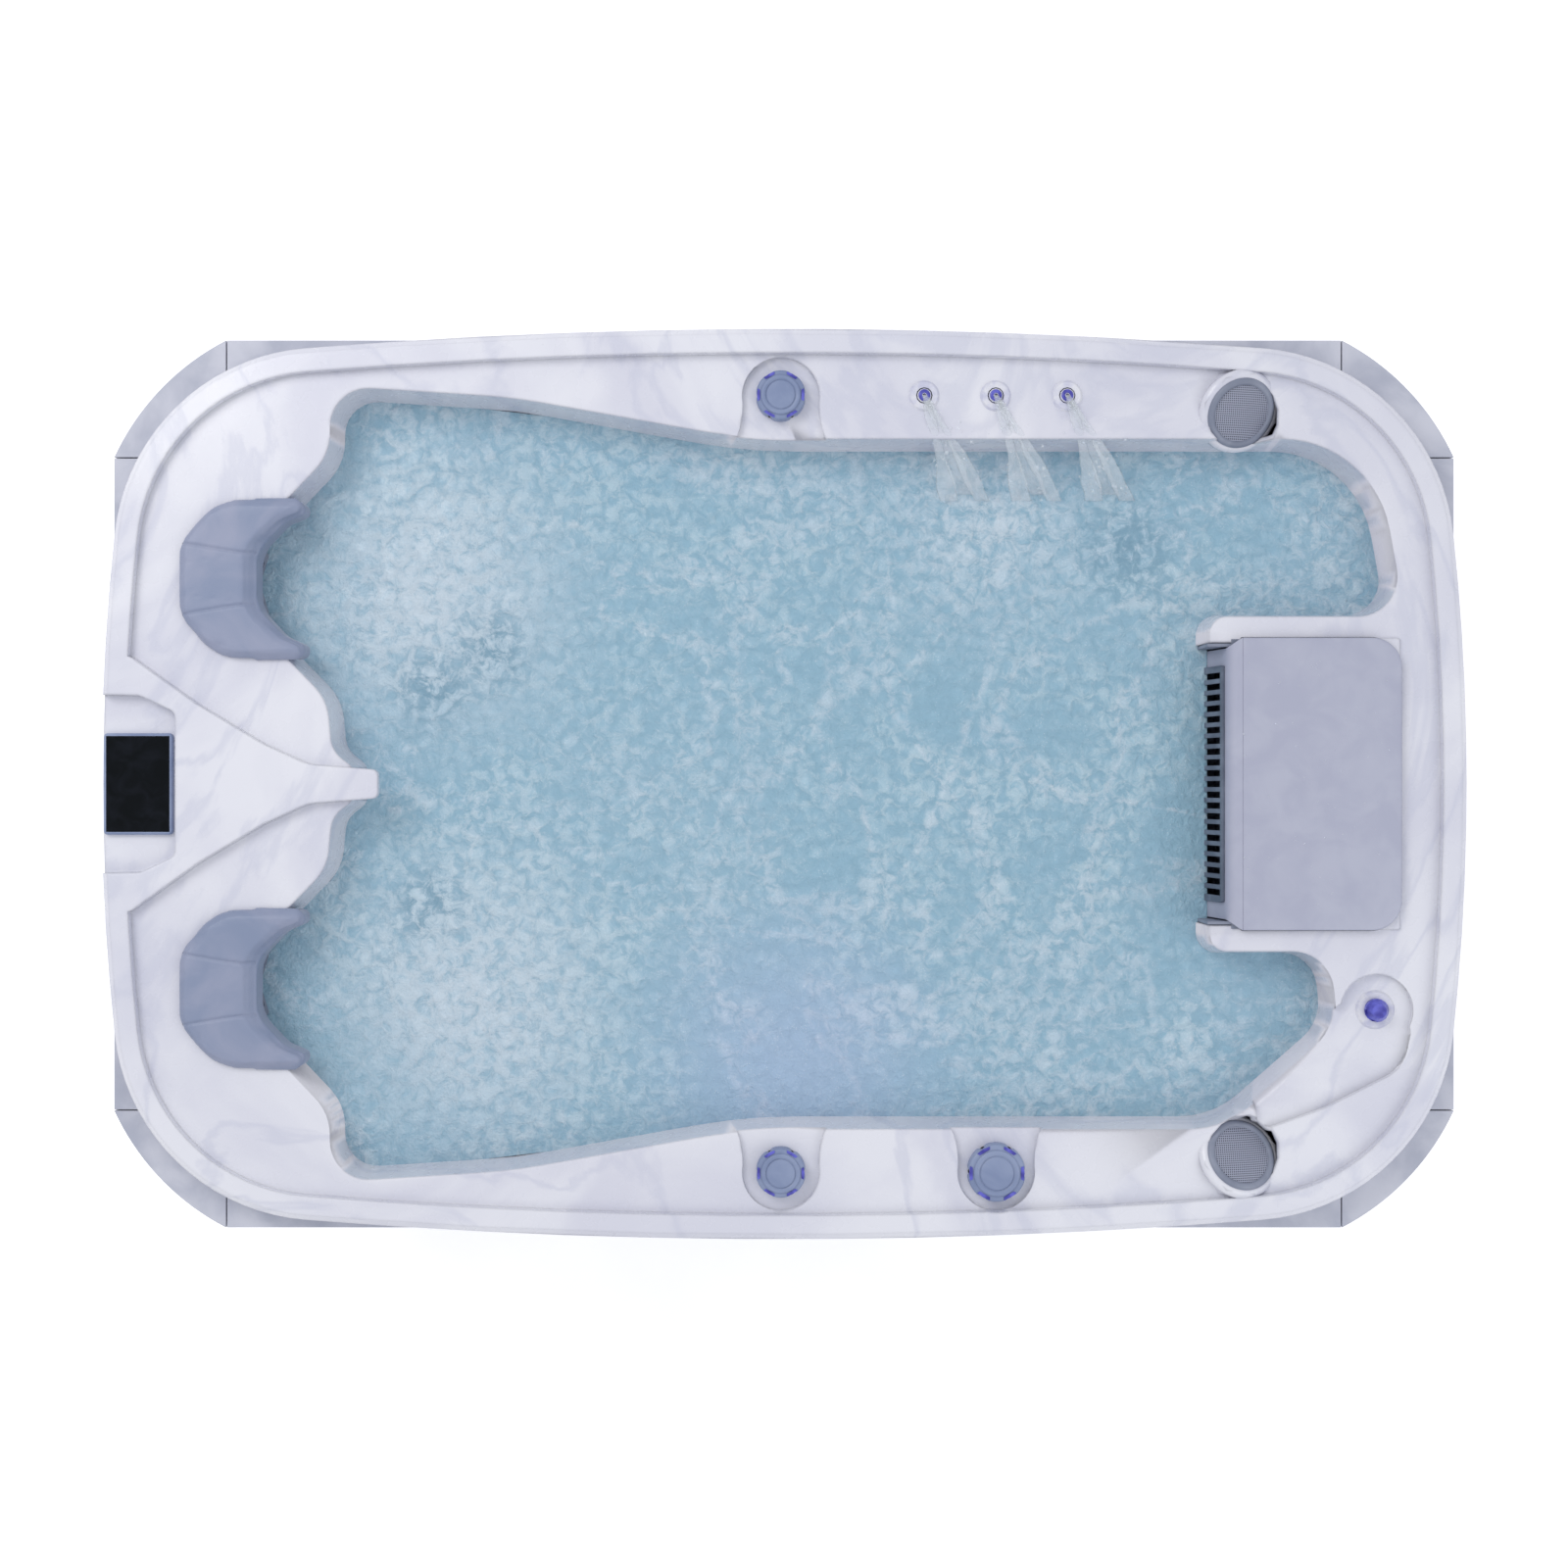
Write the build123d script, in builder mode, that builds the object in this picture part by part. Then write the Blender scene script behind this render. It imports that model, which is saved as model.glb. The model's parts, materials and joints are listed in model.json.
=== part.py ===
"""Rectangular three-person hot tub: two bucket seats at the left end, a footwell, a corner seat, a step
and a filter platform at the right end. Millimetres, +Z up, origin on the floor under the middle."""

import os
from math import cos, hypot, pi, radians, sin, sqrt, tan

from build123d import *

os.makedirs("parts", exist_ok=True)

# Rim and deck of the shell
rim_length = 2100
rim_width = 1400
rim_top = 820
end_bow = 58
side_bow = 54
rim_corner_radius = 320
rim_edge_cut = 9
lip_depth = 52
band_width = 38
deck_drop = 15
shell_wall = 8

# Bathing space
seat_spacing = 630
bay_depth = 136
bay_mouth = 193
left_deck = 350
side_deck = 86
waist_deck = 168
right_deck = 92
platform_width = 516
platform_reach = 393
nose_reach = 387
wall_taper = 6
step_z = 480
corner_seat_z = 430
seat_z = 370
floor_z = 90
footwell_start = 720
footwell_length = 900
footwell_width = 880

# Base, frame and cabinet
base_height = 30
base_floor = 6
base_wall = 5
frame_bar = 36
frame_inset = 54
panel_thickness = 18
panel_gap = 2
ledge_length = 100
ledge_depth = 48
board_count = 6
board_groove = 5
cabinet_length = 2090
cabinet_width = 1384
cabinet_corner_x = 174
cabinet_corner_y = 182
cabinet_corner_bulge = 21
cabinet_gap = 4
column_depth = 50
column_wall = 6
screw_radius = 5.5
screw_head = 2.4

# Knobs, fountains, speakers, spout and touch panel
air_knob_diameter = 79
diverter_diameter = 92
knob_height = 20
knob_slots = 6
tube_inset = 18
well_radius = 60
well_mouth = 220
well_depth = 10
knob_inset = 102
air_knob_x = -5
diverter_x = 327
fountain_pitch = 110
fountain_start_x = 216
fountain_diameter = 48
nozzle_diameter = 22
nozzle_swing = 1.7
speaker_diameter = 105
speaker_depth = 46
speaker_tilt = 28
speaker_turn = 60
speaker_x = 705
speaker_inset = 127
spout_diameter = 61
spout_recess_radius = 56
spout_recess_depth = 12
spout_end_inset = 136
spout_y = -349
touch_length = 147
touch_width = 97
touch_end_inset = 56
touch_recess_length = 236
touch_recess_depth = 116
pillow_length = 250
pillow_width = 196
pillow_height = 15
pillow_channel_depth = 3.5
pillow_drop = 40

# Skimmer and filters
lid_length = 450
lid_width = 292
lid_thickness = 12
apron_drop = 108
throat_length = 436
throat_sill = 640
housing_wall = 5
filter_diameter = 150
filter_length = 250
grille_slots = 21
grille_pitch = 16.8
weir_height = 92

# Jets
jet_diameter = 62
neck_jet_diameter = 40
jet_pad = 7
jet_body_length = 50

valve_flange = 4.5
valve_length = 62
stem_length = 24
filter_pleats = 24
grille_height = 84
neck_jet_proud = 3
suction_diameter = 100
light_diameter = 120
fitting_z = 155
pipe_radius = 24
pump_radius = 88
motor_radius = 72
heater_radius = 30
heater_length = 220
blower_radius = 82
manifold_z = 600
manifold_length = 760
manifold_radius = 30
drain_y = -180
drain_z = 66
drain_radius = 13.2
drain_hole = 30
gland_x = -560
gland_z = 90
gland_hole = 16
gland_bore = 9

# Fits
slack = 1.5
running = 0.3

# Levels and ends worked out from the sizes above
deck_z = rim_top - deck_drop
deck_under = deck_z - shell_wall
lip_bottom = rim_top - lip_depth
half_length = rim_length / 2
half_width = rim_width / 2
bay_y = seat_spacing / 2
left_wall_x = left_deck - half_length
bay_x = left_wall_x - bay_depth
platform_x = half_length - platform_reach
right_wall_x = half_length - right_deck
waist_y = half_width - waist_deck
panel_top = lip_bottom - cabinet_gap
knob_y = half_width - knob_inset
lid_back = platform_x + lid_width
housing_end = lid_back - 13
housing_half = throat_length / 2 - slack
apron_length = 2 * (housing_half - housing_wall - slack)
well_floor = deck_z - well_depth
spout_x = half_length - spout_end_inset
weir_hinge = (platform_x + 42, 0, throat_sill + 20)
lid_front = platform_x + 48
apron_foot = platform_x + 5
flange_top = deck_z + 3
grille_run = lid_front - 23 - apron_foot
grille_plane = Plane(
    origin=(apron_foot + grille_run / 2, 0, deck_z + 2 - (apron_drop - 2) / 2),
    x_dir=(0, -1, 0),
    z_dir=(-apron_drop, 0, grille_run),
)


def save(block, label):
    """Names one finished piece and writes it."""
    block.part.label = label
    export_step(block.part, f"parts/{label}.step")


def bow_radius(half_chord, rise):
    """Radius of an arc that rises by rise over twice half_chord."""
    return (half_chord**2 + rise**2) / (2 * rise)


def rim_outline(inset=0.0):
    """Rim seen from above: four bowed sides with rounded corners, drawn in by inset."""
    end_radius = bow_radius(half_width - side_bow, end_bow)
    side_radius = bow_radius(half_length - end_bow, side_bow)
    end_centre = half_length - end_radius
    side_centre = half_width - side_radius
    apart = hypot(end_centre, side_centre)
    along = ((end_radius - inset) ** 2 - (side_radius - inset) ** 2 + apart**2) / (2 * apart)
    across = sqrt((end_radius - inset) ** 2 - along**2)
    x = end_centre - (along * end_centre + across * side_centre) / apart
    y = (along * side_centre - across * end_centre) / apart
    end_x = half_length - inset
    side_y = half_width - inset
    with BuildSketch() as outline:
        with BuildLine():
            ThreePointArc((-x, -y), (0, -side_y), (x, -y))
            ThreePointArc((x, -y), (end_x, 0), (x, y))
            ThreePointArc((x, y), (0, side_y), (-x, y))
            ThreePointArc((-x, y), (-end_x, 0), (-x, -y))
        make_face()
        fillet(outline.vertices(), rim_corner_radius - inset)
    return outline.sketch


def counter_clockwise(corners):
    """The corners in counter-clockwise order."""
    pairs = zip(corners, corners[1:] + corners[:1])
    turned_left = sum(x0 * y1 - x1 * y0 for (x0, y0, r0), (x1, y1, r1) in pairs) > 0
    return corners if turned_left else corners[::-1]


def skin_region(corners, grow):
    """Outer skin round (x, y, radius) corners: outward roundings become straight cuts that clear them."""
    corners = counter_clockwise(corners)
    route = []
    for before, (x, y, radius), after in zip(corners[-1:] + corners, corners, corners[1:] + corners[:1]):
        corner = Vector(x, y)
        back = (Vector(before[0], before[1]) - corner).normalized()
        ahead = (Vector(after[0], after[1]) - corner).normalized()
        if back.cross(ahead).Z > 0:
            route.append((x, y, radius))
            continue
        reach = radius / tan(radians(back.get_angle(ahead) / 2)) / 2
        for end in (corner + back * reach, corner + ahead * reach):
            route.append((end.X, end.Y, 0))
    return rounded_region(route, grow, Kind.INTERSECTION)


def rounded_region(corners, grow=0.0, kind=Kind.ARC):
    """Closed outline through (x, y, radius) corners, grown by an even amount."""
    corners = counter_clockwise(corners)
    with BuildSketch() as region:
        with BuildLine():
            FilletPolyline([(x, y) for x, y, r in corners], radius=[r for x, y, r in corners], close=True)
        make_face()
        if grow:
            offset(amount=grow, kind=kind)
    return region.sketch


def left_half_wall(side):
    """Corners of the left end on one side (+1 rear, -1 front), from the waist to the spine's nose."""
    return [
        (-60, side * waist_y, 900),
        (left_wall_x + 280, side * (half_width - side_deck - 18), 900),
        (left_wall_x, side * (half_width - side_deck), 60),
        (left_wall_x, side * (bay_y + bay_mouth), 80),
        (bay_x, side * (bay_y + 51), 115),
        (bay_x, side * (bay_y - 51), 115),
        (left_wall_x - 4, side * (bay_y - 185), 80),
        (left_wall_x + 3, side * 50, 45),
        (nose_reach - half_length, side * 25, 22),
    ]


def bath_corners():
    """Corners of the bathing space's edge at deck level."""
    platform_y = platform_width / 2
    right = [
        (right_wall_x - 280, -waist_y, 150),
        (right_wall_x - 104, -waist_y + 154, 80),
        (right_wall_x - 116, -platform_y, 65),
        (platform_x, -platform_y, 25),
        (platform_x, platform_y, 25),
        (right_wall_x, platform_y, 62),
        (right_wall_x - 50, waist_y, 170),
    ]
    return left_half_wall(1) + left_half_wall(-1)[::-1] + right


def tub_space(grow=0.0, top=deck_z):
    """The bathing space from the deck to the floor, or its outer skin when grown by the wall.

    It is drawn upside down, so that each level narrows away from its outline, and then turned over."""
    seat_front = footwell_start - half_length
    seat_back = bay_x + (deck_z - step_z) * tan(radians(wall_taper)) + 10
    footwell_middle = seat_front + footwell_length / 2
    corner_seat_y = (waist_y + platform_width / 2) / 2 + 8
    lower_top = step_z + 2
    with BuildPart() as space:
        corners = [(x, -y, r) for x, y, r in bath_corners()]
        with BuildSketch(Plane.XY.offset(-top)):
            add(skin_region(corners, grow) if grow else rounded_region(corners))
        extrude(amount=top - step_z + grow, taper=wall_taper)
        for side in (1, -1):
            corners = [
                (seat_back, side * (bay_y - 180), 90),
                (seat_back + 120, side * 60, 60),
                (seat_front + 40, side * 60, 30),
                (seat_front + 40, side * (bay_y + 215), 30),
                (seat_back + 120, side * (bay_y + 215), 90),
                (seat_back, side * (bay_y + 120), 90),
            ]
            with BuildSketch(Plane.XY.offset(-lower_top)):
                add(skin_region(corners, grow) if grow else rounded_region(corners))
            extrude(amount=lower_top - seat_z + grow, taper=2 * wall_taper)
        with BuildSketch(Plane.XY.offset(-lower_top)) as footwell:
            with Locations((footwell_middle, 0)):
                Rectangle(footwell_length + 2 * grow, footwell_width + 2 * grow)
            if not grow:
                fillet(footwell.vertices(), 70)
        extrude(amount=lower_top - floor_z + grow, taper=wall_taper)
        with BuildSketch(Plane.XY.offset(-lower_top)) as corner_seat:
            with Locations((right_wall_x - 190, -corner_seat_y)):
                Rectangle(250 + 2 * grow, 170 + 2 * grow)
            if not grow:
                fillet(corner_seat.vertices(), 60)
        extrude(amount=lower_top - corner_seat_z + grow, taper=2 * wall_taper)
    return space.part.rotate(Axis.X, 180)


def well_outline(x, y, grow=0.0):
    """Bell-shaped well round a knob, open towards the water."""
    side = 1 if y > 0 else -1
    with BuildSketch() as well:
        with Locations((x, y)):
            Circle(well_radius + grow)
        with BuildLine():
            mouth_y = side * (waist_y - 30)
            neck_y = y - side * 10
            half_mouth = well_mouth / 2 + grow
            half_neck = well_radius + grow - 1
            Line((x - half_mouth, mouth_y), (x + half_mouth, mouth_y))
            Spline(
                (x + half_mouth, mouth_y),
                (x + half_neck, neck_y),
                tangents=((-1, side * 0.2), (0, side)),
            )
            Line((x + half_neck, neck_y), (x - half_neck, neck_y))
            Spline(
                (x - half_neck, neck_y),
                (x - half_mouth, mouth_y),
                tangents=((0, -side), (-1, -side * 0.2)),
            )
        make_face()
    return well.sketch


def raised_outline():
    """Raised band round the rim, the plateau round the touch panel and the spine to the nose."""
    touch_inner = touch_recess_depth - half_length
    plateau = [
        (20 - half_length, 215, 20),
        (touch_inner + 34, touch_recess_length / 2 + 4, 26),
        (bay_x + 36, 62, 60),
        (left_wall_x - 30, 30, 60),
        (nose_reach - half_length + 40, 22, 10),
    ]
    mirrored = [(x, -y, r) for x, y, r in plateau[::-1]]
    with BuildSketch() as raised:
        add(rim_outline(-30))
        add(rim_outline(band_width), mode=Mode.SUBTRACT)
        add(rounded_region(plateau + mirrored))
    return raised.sketch


def touch_recess():
    """Notch in the band where the touch panel sits, open through the rim's outer edge."""
    inner = touch_recess_depth - half_length
    half = touch_recess_length / 2
    corners = [
        (-half_length - 40, half + 20, 0),
        (inner - 55, half + 18, 20),
        (inner, half - 8, 14),
        (inner, 8 - half, 14),
        (inner - 55, -half - 18, 20),
        (-half_length - 40, -half - 20, 0),
    ]
    return rounded_region(corners)


KNOBS = {
    "air_knob_rear": (air_knob_x, knob_y, air_knob_diameter),
    "air_knob_front": (air_knob_x, -knob_y, air_knob_diameter),
    "diverter_knob": (diverter_x, -knob_y, diverter_diameter),
}
FOUNTAINS = [(fountain_start_x + i * fountain_pitch, knob_y) for i in range(3)]


def bay_jet(side, turn, height, proud):
    """Plane on a seat's back wall, at an angle round the bay and a height, facing into the water."""
    radius = 115 - (deck_z - height) * tan(radians(wall_taper))
    across = cos(radians(turn))
    normal = Vector(across, -sin(radians(turn)), tan(radians(wall_taper))).normalized()
    foot = Vector(bay_x + 115 - radius * across, side * bay_y + radius * sin(radians(turn)), height)
    return Plane(origin=foot + normal * proud, x_dir=(0, 0, 1), z_dir=normal)


def corner_jet(height, proud):
    """Plane on the corner seat's end wall, facing the seat."""
    lean = (deck_z - height) * tan(radians(wall_taper))
    along = Vector(-50, waist_y - platform_width / 2, 0).normalized()
    inward = Vector(-along.Y, along.X, 0)
    normal = (inward + Vector(0, 0, tan(radians(wall_taper)))).normalized()
    foot = Vector(right_wall_x, platform_width / 2, height) + along * 88 + inward * lean
    return Plane(origin=foot + normal * proud, x_dir=(0, 0, 1), z_dir=normal)


def turning_jets(proud=0.0):
    """Planes of the ten jets whose faces turn, by name."""
    planes = {}
    for name, side in (("rear", 1), ("front", -1)):
        for row, height, spread in (("upper", 645, 27), ("lower", 555, 30)):
            planes[f"{name}_{row}_left"] = bay_jet(side, -spread, height, proud)
            planes[f"{name}_{row}_right"] = bay_jet(side, spread, height, proud)
    planes["corner_upper"] = corner_jet(650, proud)
    planes["corner_lower"] = corner_jet(565, proud)
    return planes


def neck_jets(proud=0.0):
    """Planes of the four fixed jets under the pillows."""
    return [bay_jet(side, turn, 742, proud) for side in (1, -1) for turn in (-17, 17)]


def speaker_plane(side):
    """Plane of a speaker's face, tilted towards the water."""
    tilt = radians(speaker_tilt)
    turn = radians(speaker_turn)
    normal = Vector(sin(tilt) * cos(turn), -side * sin(tilt) * sin(turn), cos(tilt))
    centre = (speaker_x, side * (half_width - speaker_inset), deck_z - 6)
    return Plane(origin=centre, x_dir=(sin(turn), side * cos(turn), 0), z_dir=normal)


def spout_shelf(grow=0.0):
    """Round recess of the spout with the curved shelf that runs on along the edge."""
    x = spout_x
    corners = [
        (x + 58, spout_y - 10, 30),
        (x + 40, spout_y - 90, 60),
        (x - 80, spout_y - 150, 90),
        (x - 180, spout_y - 186, 20),
        (x - 190, spout_y - 140, 0),
        (x - 84, spout_y - 30, 0),
        (x - 60, spout_y + 10, 10),
    ]
    with BuildSketch() as shelf:
        add(rounded_region(corners, grow))
        with Locations((x, spout_y)):
            Circle(spout_recess_radius + grow)
    return shelf.sketch


def wall_fittings():
    """Planes and diameters of the two suction covers and the light on the footwell's walls."""
    seat_front = footwell_start - half_length
    lean = (step_z + 2 - fitting_z) * tan(radians(wall_taper))
    back = tan(radians(wall_taper))
    left = seat_front + lean
    right = seat_front + footwell_length - lean
    fittings = [
        (Plane(origin=(left, side * 150, fitting_z), x_dir=(0, 1, 0), z_dir=(1, 0, back)), suction_diameter)
        for side in (1, -1)
    ]
    light = Plane(origin=(right, 0, fitting_z + 40), x_dir=(0, 1, 0), z_dir=(-1, 0, back))
    light.origin += (40 * tan(radians(wall_taper)), 0, 0)
    return fittings + [(light, light_diameter)]


def pleat_points(outer, inner, count):
    """Angle and radius of each fold of a pleated cartridge, outer and inner by turns."""
    step = pi / count
    return [(i * step, outer if i % 2 == 0 else inner) for i in range(2 * count)]


bathing_space = tub_space()

with BuildPart() as jet_pads:
    for plane in turning_jets(jet_pad).values():
        with BuildSketch(plane):
            RegularPolygon(jet_diameter / 2 + 8, 8)
        extrude(amount=-jet_pad - shell_wall + 1)

with BuildPart() as shell_openings:
    for x, y, diameter in KNOBS.values():
        with BuildSketch(Plane.XY.offset(well_floor)):
            add(well_outline(x, y))
        extrude(amount=rim_top - well_floor)
        with BuildSketch(Plane.XY.offset(well_floor)):
            with Locations((x, y)):
                RegularPolygon(diameter / 2 - tube_inset, 12)
        extrude(amount=3 * shell_wall, both=True)
    with BuildSketch(Plane.XY.offset(deck_z - spout_recess_depth)):
        add(spout_shelf())
    extrude(amount=deck_drop + spout_recess_depth)
    with BuildSketch(Plane.XY.offset(deck_z)):
        with Locations((spout_x, spout_y)):
            RegularPolygon(spout_diameter / 2 - 10, 16)
        with Locations(*FOUNTAINS):
            RegularPolygon(fountain_diameter / 2 - 6, 12)
    extrude(amount=4 * shell_wall, both=True)
    for side in (1, -1):
        with BuildSketch(speaker_plane(side)):
            RegularPolygon(speaker_diameter / 2 + 2 * slack, 16)
        extrude(amount=speaker_depth, both=True)
    with BuildSketch(Plane.XY.offset(throat_sill)):
        with Locations((platform_x - 50, 0)):
            Rectangle(housing_end + slack - platform_x + 50, throat_length, align=(Align.MIN, Align.CENTER))
    extrude(amount=rim_top - throat_sill)
    for plane in turning_jets().values():
        with BuildSketch(plane):
            RegularPolygon(jet_diameter / 2 - 5, 8)
        extrude(amount=30, both=True)
    for plane in neck_jets():
        with BuildSketch(plane):
            RegularPolygon(neck_jet_diameter / 2 - 4, 8)
        extrude(amount=20, both=True)
    for plane, diameter in wall_fittings():
        with BuildSketch(plane):
            RegularPolygon(diameter / 2 - 8, 16)
        extrude(amount=20, both=True)

with BuildPart() as shell:
    with BuildSketch(Plane.XY.offset(lip_bottom)):
        add(rim_outline())
    extrude(amount=lip_depth)
    chamfer(shell.faces().sort_by(Axis.Z)[-1].edges(), rim_edge_cut)
    with BuildSketch(Plane.XY.offset(deck_z)):
        add(rim_outline(-40))
        add(raised_outline(), mode=Mode.SUBTRACT)
    extrude(amount=deck_drop + 1, mode=Mode.SUBTRACT)
    with BuildSketch(Plane.XY.offset(deck_z - 3)):
        add(touch_recess())
    extrude(amount=deck_drop + 10, mode=Mode.SUBTRACT)
    with BuildSketch(Plane.XY.offset(lip_bottom)):
        add(rim_outline(shell_wall))
    extrude(amount=deck_under - lip_bottom, mode=Mode.SUBTRACT)
    for x, y, diameter in KNOBS.values():
        with BuildSketch(Plane.XY.offset(deck_under - well_depth)):
            add(well_outline(x, y, shell_wall))
        extrude(amount=well_depth)
    with BuildSketch(Plane.XY.offset(deck_under - spout_recess_depth)):
        add(spout_shelf(shell_wall))
    extrude(amount=spout_recess_depth)
    for side in (1, -1):
        with BuildSketch(speaker_plane(side)):
            RegularPolygon(speaker_diameter / 2 + 2 * slack + shell_wall, 8)
        extrude(amount=-speaker_depth - shell_wall)
    add(tub_space(shell_wall, deck_under))
    add(bathing_space, mode=Mode.SUBTRACT)
    add(jet_pads.part)
    add(shell_openings.part, mode=Mode.SUBTRACT)
save(shell, "shell")


def cabinet_outline(inset=0.0):
    """Cabinet seen from above: straight sides and bulging corner columns."""
    x = cabinet_length / 2 - inset
    y = cabinet_width / 2 - inset
    in_x, in_y = x - cabinet_corner_x, y - cabinet_corner_y
    corner = Vector((x + in_x) / 2, (y + in_y) / 2)
    corner += Vector(cabinet_corner_y, cabinet_corner_x).normalized() * cabinet_corner_bulge
    with BuildSketch() as outline:
        with BuildLine():
            for across, up in ((1, 1), (-1, -1)):
                ThreePointArc(
                    (across * in_x, up * y), (across * corner.X, up * corner.Y), (across * x, up * in_y)
                )
                Line((across * x, up * in_y), (across * x, -up * in_y))
                ThreePointArc(
                    (across * x, -up * in_y), (across * corner.X, -up * corner.Y), (across * in_x, -up * y)
                )
                Line((across * in_x, -up * y), (-across * in_x, -up * y))
        make_face()
    return outline.sketch


with BuildPart() as base_pan:
    with BuildSketch():
        add(cabinet_outline(2 * panel_gap))
    extrude(amount=base_height)
    with BuildSketch(Plane.XY.offset(base_floor)):
        add(cabinet_outline(2 * panel_gap + base_wall))
    extrude(amount=base_height, mode=Mode.SUBTRACT)
save(base_pan, "base_pan")

rail_y = half_width - frame_inset
rail_x = half_length - frame_inset
long_rail = 2 * (speaker_x - speaker_diameter / 2 - shell_wall - 10)
end_rail = 2 * (half_width - rim_corner_radius - 50)
top_rail = deck_under - well_depth - frame_bar
post_height = top_rail - base_floor - frame_bar
standing = (Align.CENTER, Align.CENTER, Align.MIN)

with BuildPart() as frame_rails:
    for level in (base_floor, top_rail):
        with Locations((0, rail_y, level), (0, -rail_y, level)):
            Box(long_rail, frame_bar, frame_bar, align=standing)
        with Locations((rail_x, 0, level), (-rail_x, 0, level)):
            Box(frame_bar, end_rail, frame_bar, align=standing)
save(frame_rails, "frame_rails")

with BuildPart() as frame_posts:
    with BuildSketch(Plane.XY.offset(base_floor + frame_bar)):
        with GridLocations((long_rail - frame_bar) / 3, 2 * rail_y, 4, 2):
            Rectangle(frame_bar, frame_bar)
        with GridLocations(2 * rail_x, end_rail - frame_bar, 2, 2):
            Rectangle(frame_bar, frame_bar)
    extrude(amount=post_height)
save(frame_posts, "frame_posts")


def board_profile(outer, bottom, top):
    """Cross-section of a cabinet panel: boards with V grooves between them, outer face at outer."""
    pitch = (top - bottom) / board_count
    points = [(outer - panel_thickness, bottom), (outer, bottom)]
    for board in range(1, board_count):
        joint = bottom + board * pitch
        points += [
            (outer, joint - board_groove),
            (outer - board_groove, joint),
            (outer, joint + board_groove),
        ]
    return points + [(outer, top), (outer - panel_thickness, top)]


panel_bottom = base_height
side_panel_length = cabinet_length - 2 * cabinet_corner_x - 2 * panel_gap
end_panel_length = cabinet_width - 2 * cabinet_corner_y - 2 * panel_gap
PANELS = {
    "rear_panel": (cabinet_width / 2, 0, side_panel_length),
    "front_panel": (cabinet_width / 2, 180, side_panel_length),
    "right_panel": (cabinet_length / 2, -90, end_panel_length),
    "access_panel": (cabinet_length / 2, 90, end_panel_length),
}
drain_axis = Plane(origin=(cabinet_length / 2, drain_y, drain_z), x_dir=(0, 1, 0), z_dir=(1, 0, 0))
gland_axis = Plane(origin=(gland_x, cabinet_width / 2, gland_z), x_dir=(1, 0, 0), z_dir=(0, 1, 0))
PANEL_HOLES = {"right_panel": (drain_axis, drain_hole), "rear_panel": (gland_axis, gland_hole)}
for label, (outer, turn, length) in PANELS.items():
    with BuildPart() as boards:
        with BuildSketch(Plane.YZ):
            with BuildLine():
                Polyline(board_profile(outer, panel_bottom, panel_top), close=True)
            make_face()
        extrude(amount=length / 2, both=True)
        with Locations((0, outer - panel_thickness, panel_top)):
            with GridLocations(length - ledge_length, 0, 2, 1):
                Box(ledge_length, ledge_depth, column_wall, align=(Align.CENTER, Align.MAX, Align.MAX))
    with BuildPart() as panel:
        add(boards.part.rotate(Axis.Z, turn))
        if label in PANEL_HOLES:
            hole_plane, hole_radius = PANEL_HOLES[label]
            with BuildSketch(hole_plane):
                Circle(hole_radius)
            extrude(amount=2 * panel_thickness, both=True, mode=Mode.SUBTRACT)
    save(panel, label)


def column_outline(across, up, wall, depth):
    """A corner column seen from above: bulging outer side, two ends and an inner side at depth."""
    x = cabinet_length / 2
    y = cabinet_width / 2
    outward = Vector(cabinet_corner_y, cabinet_corner_x).normalized()
    middle = Vector(x - cabinet_corner_x / 2, y - cabinet_corner_y / 2)
    middle += outward * (cabinet_corner_bulge - wall)
    in_x = x - cabinet_corner_x + wall
    in_y = y - cabinet_corner_y + wall
    x -= 2.4 * wall
    y -= 2.4 * wall
    with BuildSketch() as outline:
        with BuildLine():
            ThreePointArc((across * in_x, up * y), (across * middle.X, up * middle.Y), (across * x, up * in_y))
            Polyline(
                (across * x, up * in_y),
                (across * (x - depth), up * in_y),
                (across * in_x, up * (y - depth)),
                (across * in_x, up * y),
            )
        make_face()
    return outline.sketch


COLUMNS = {
    "corner_rear_left": (-1, 1),
    "corner_rear_right": (1, 1),
    "corner_front_left": (-1, -1),
    "corner_front_right": (1, -1),
}
for label, (across, up) in COLUMNS.items():
    with BuildPart() as column:
        with BuildSketch(Plane.XY.offset(panel_bottom)):
            add(column_outline(across, up, 0, column_depth))
        extrude(amount=panel_top - panel_bottom)
        with BuildSketch(Plane.XY.offset(panel_bottom)):
            add(column_outline(across, up, column_wall, 2 * column_depth))
        extrude(amount=panel_top - panel_bottom - column_wall, mode=Mode.SUBTRACT)
    save(column, label)

screw_levels = (panel_bottom + 30, panel_top - 30)
with BuildPart() as panel_screws:
    for plane, turn, reach, half in (
        (Plane.XZ, 0, cabinet_width / 2, side_panel_length / 2 - 30),
        (Plane.YZ, 0, cabinet_length / 2, end_panel_length / 2 - 30),
    ):
        for outward in (1, -1):
            face = plane.offset(outward * reach)
            with BuildSketch(face):
                with Locations(*[(x, z) for x in (-half, half) for z in screw_levels]):
                    RegularPolygon(screw_radius, 6)
            extrude(amount=outward * screw_head)
save(panel_screws, "panel_screws")


# Rise and lean of each band of a pillow's side above its drawn-in foot
PILLOW_BANDS = [(6, 12), (pillow_height - 9, 60)]


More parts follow.
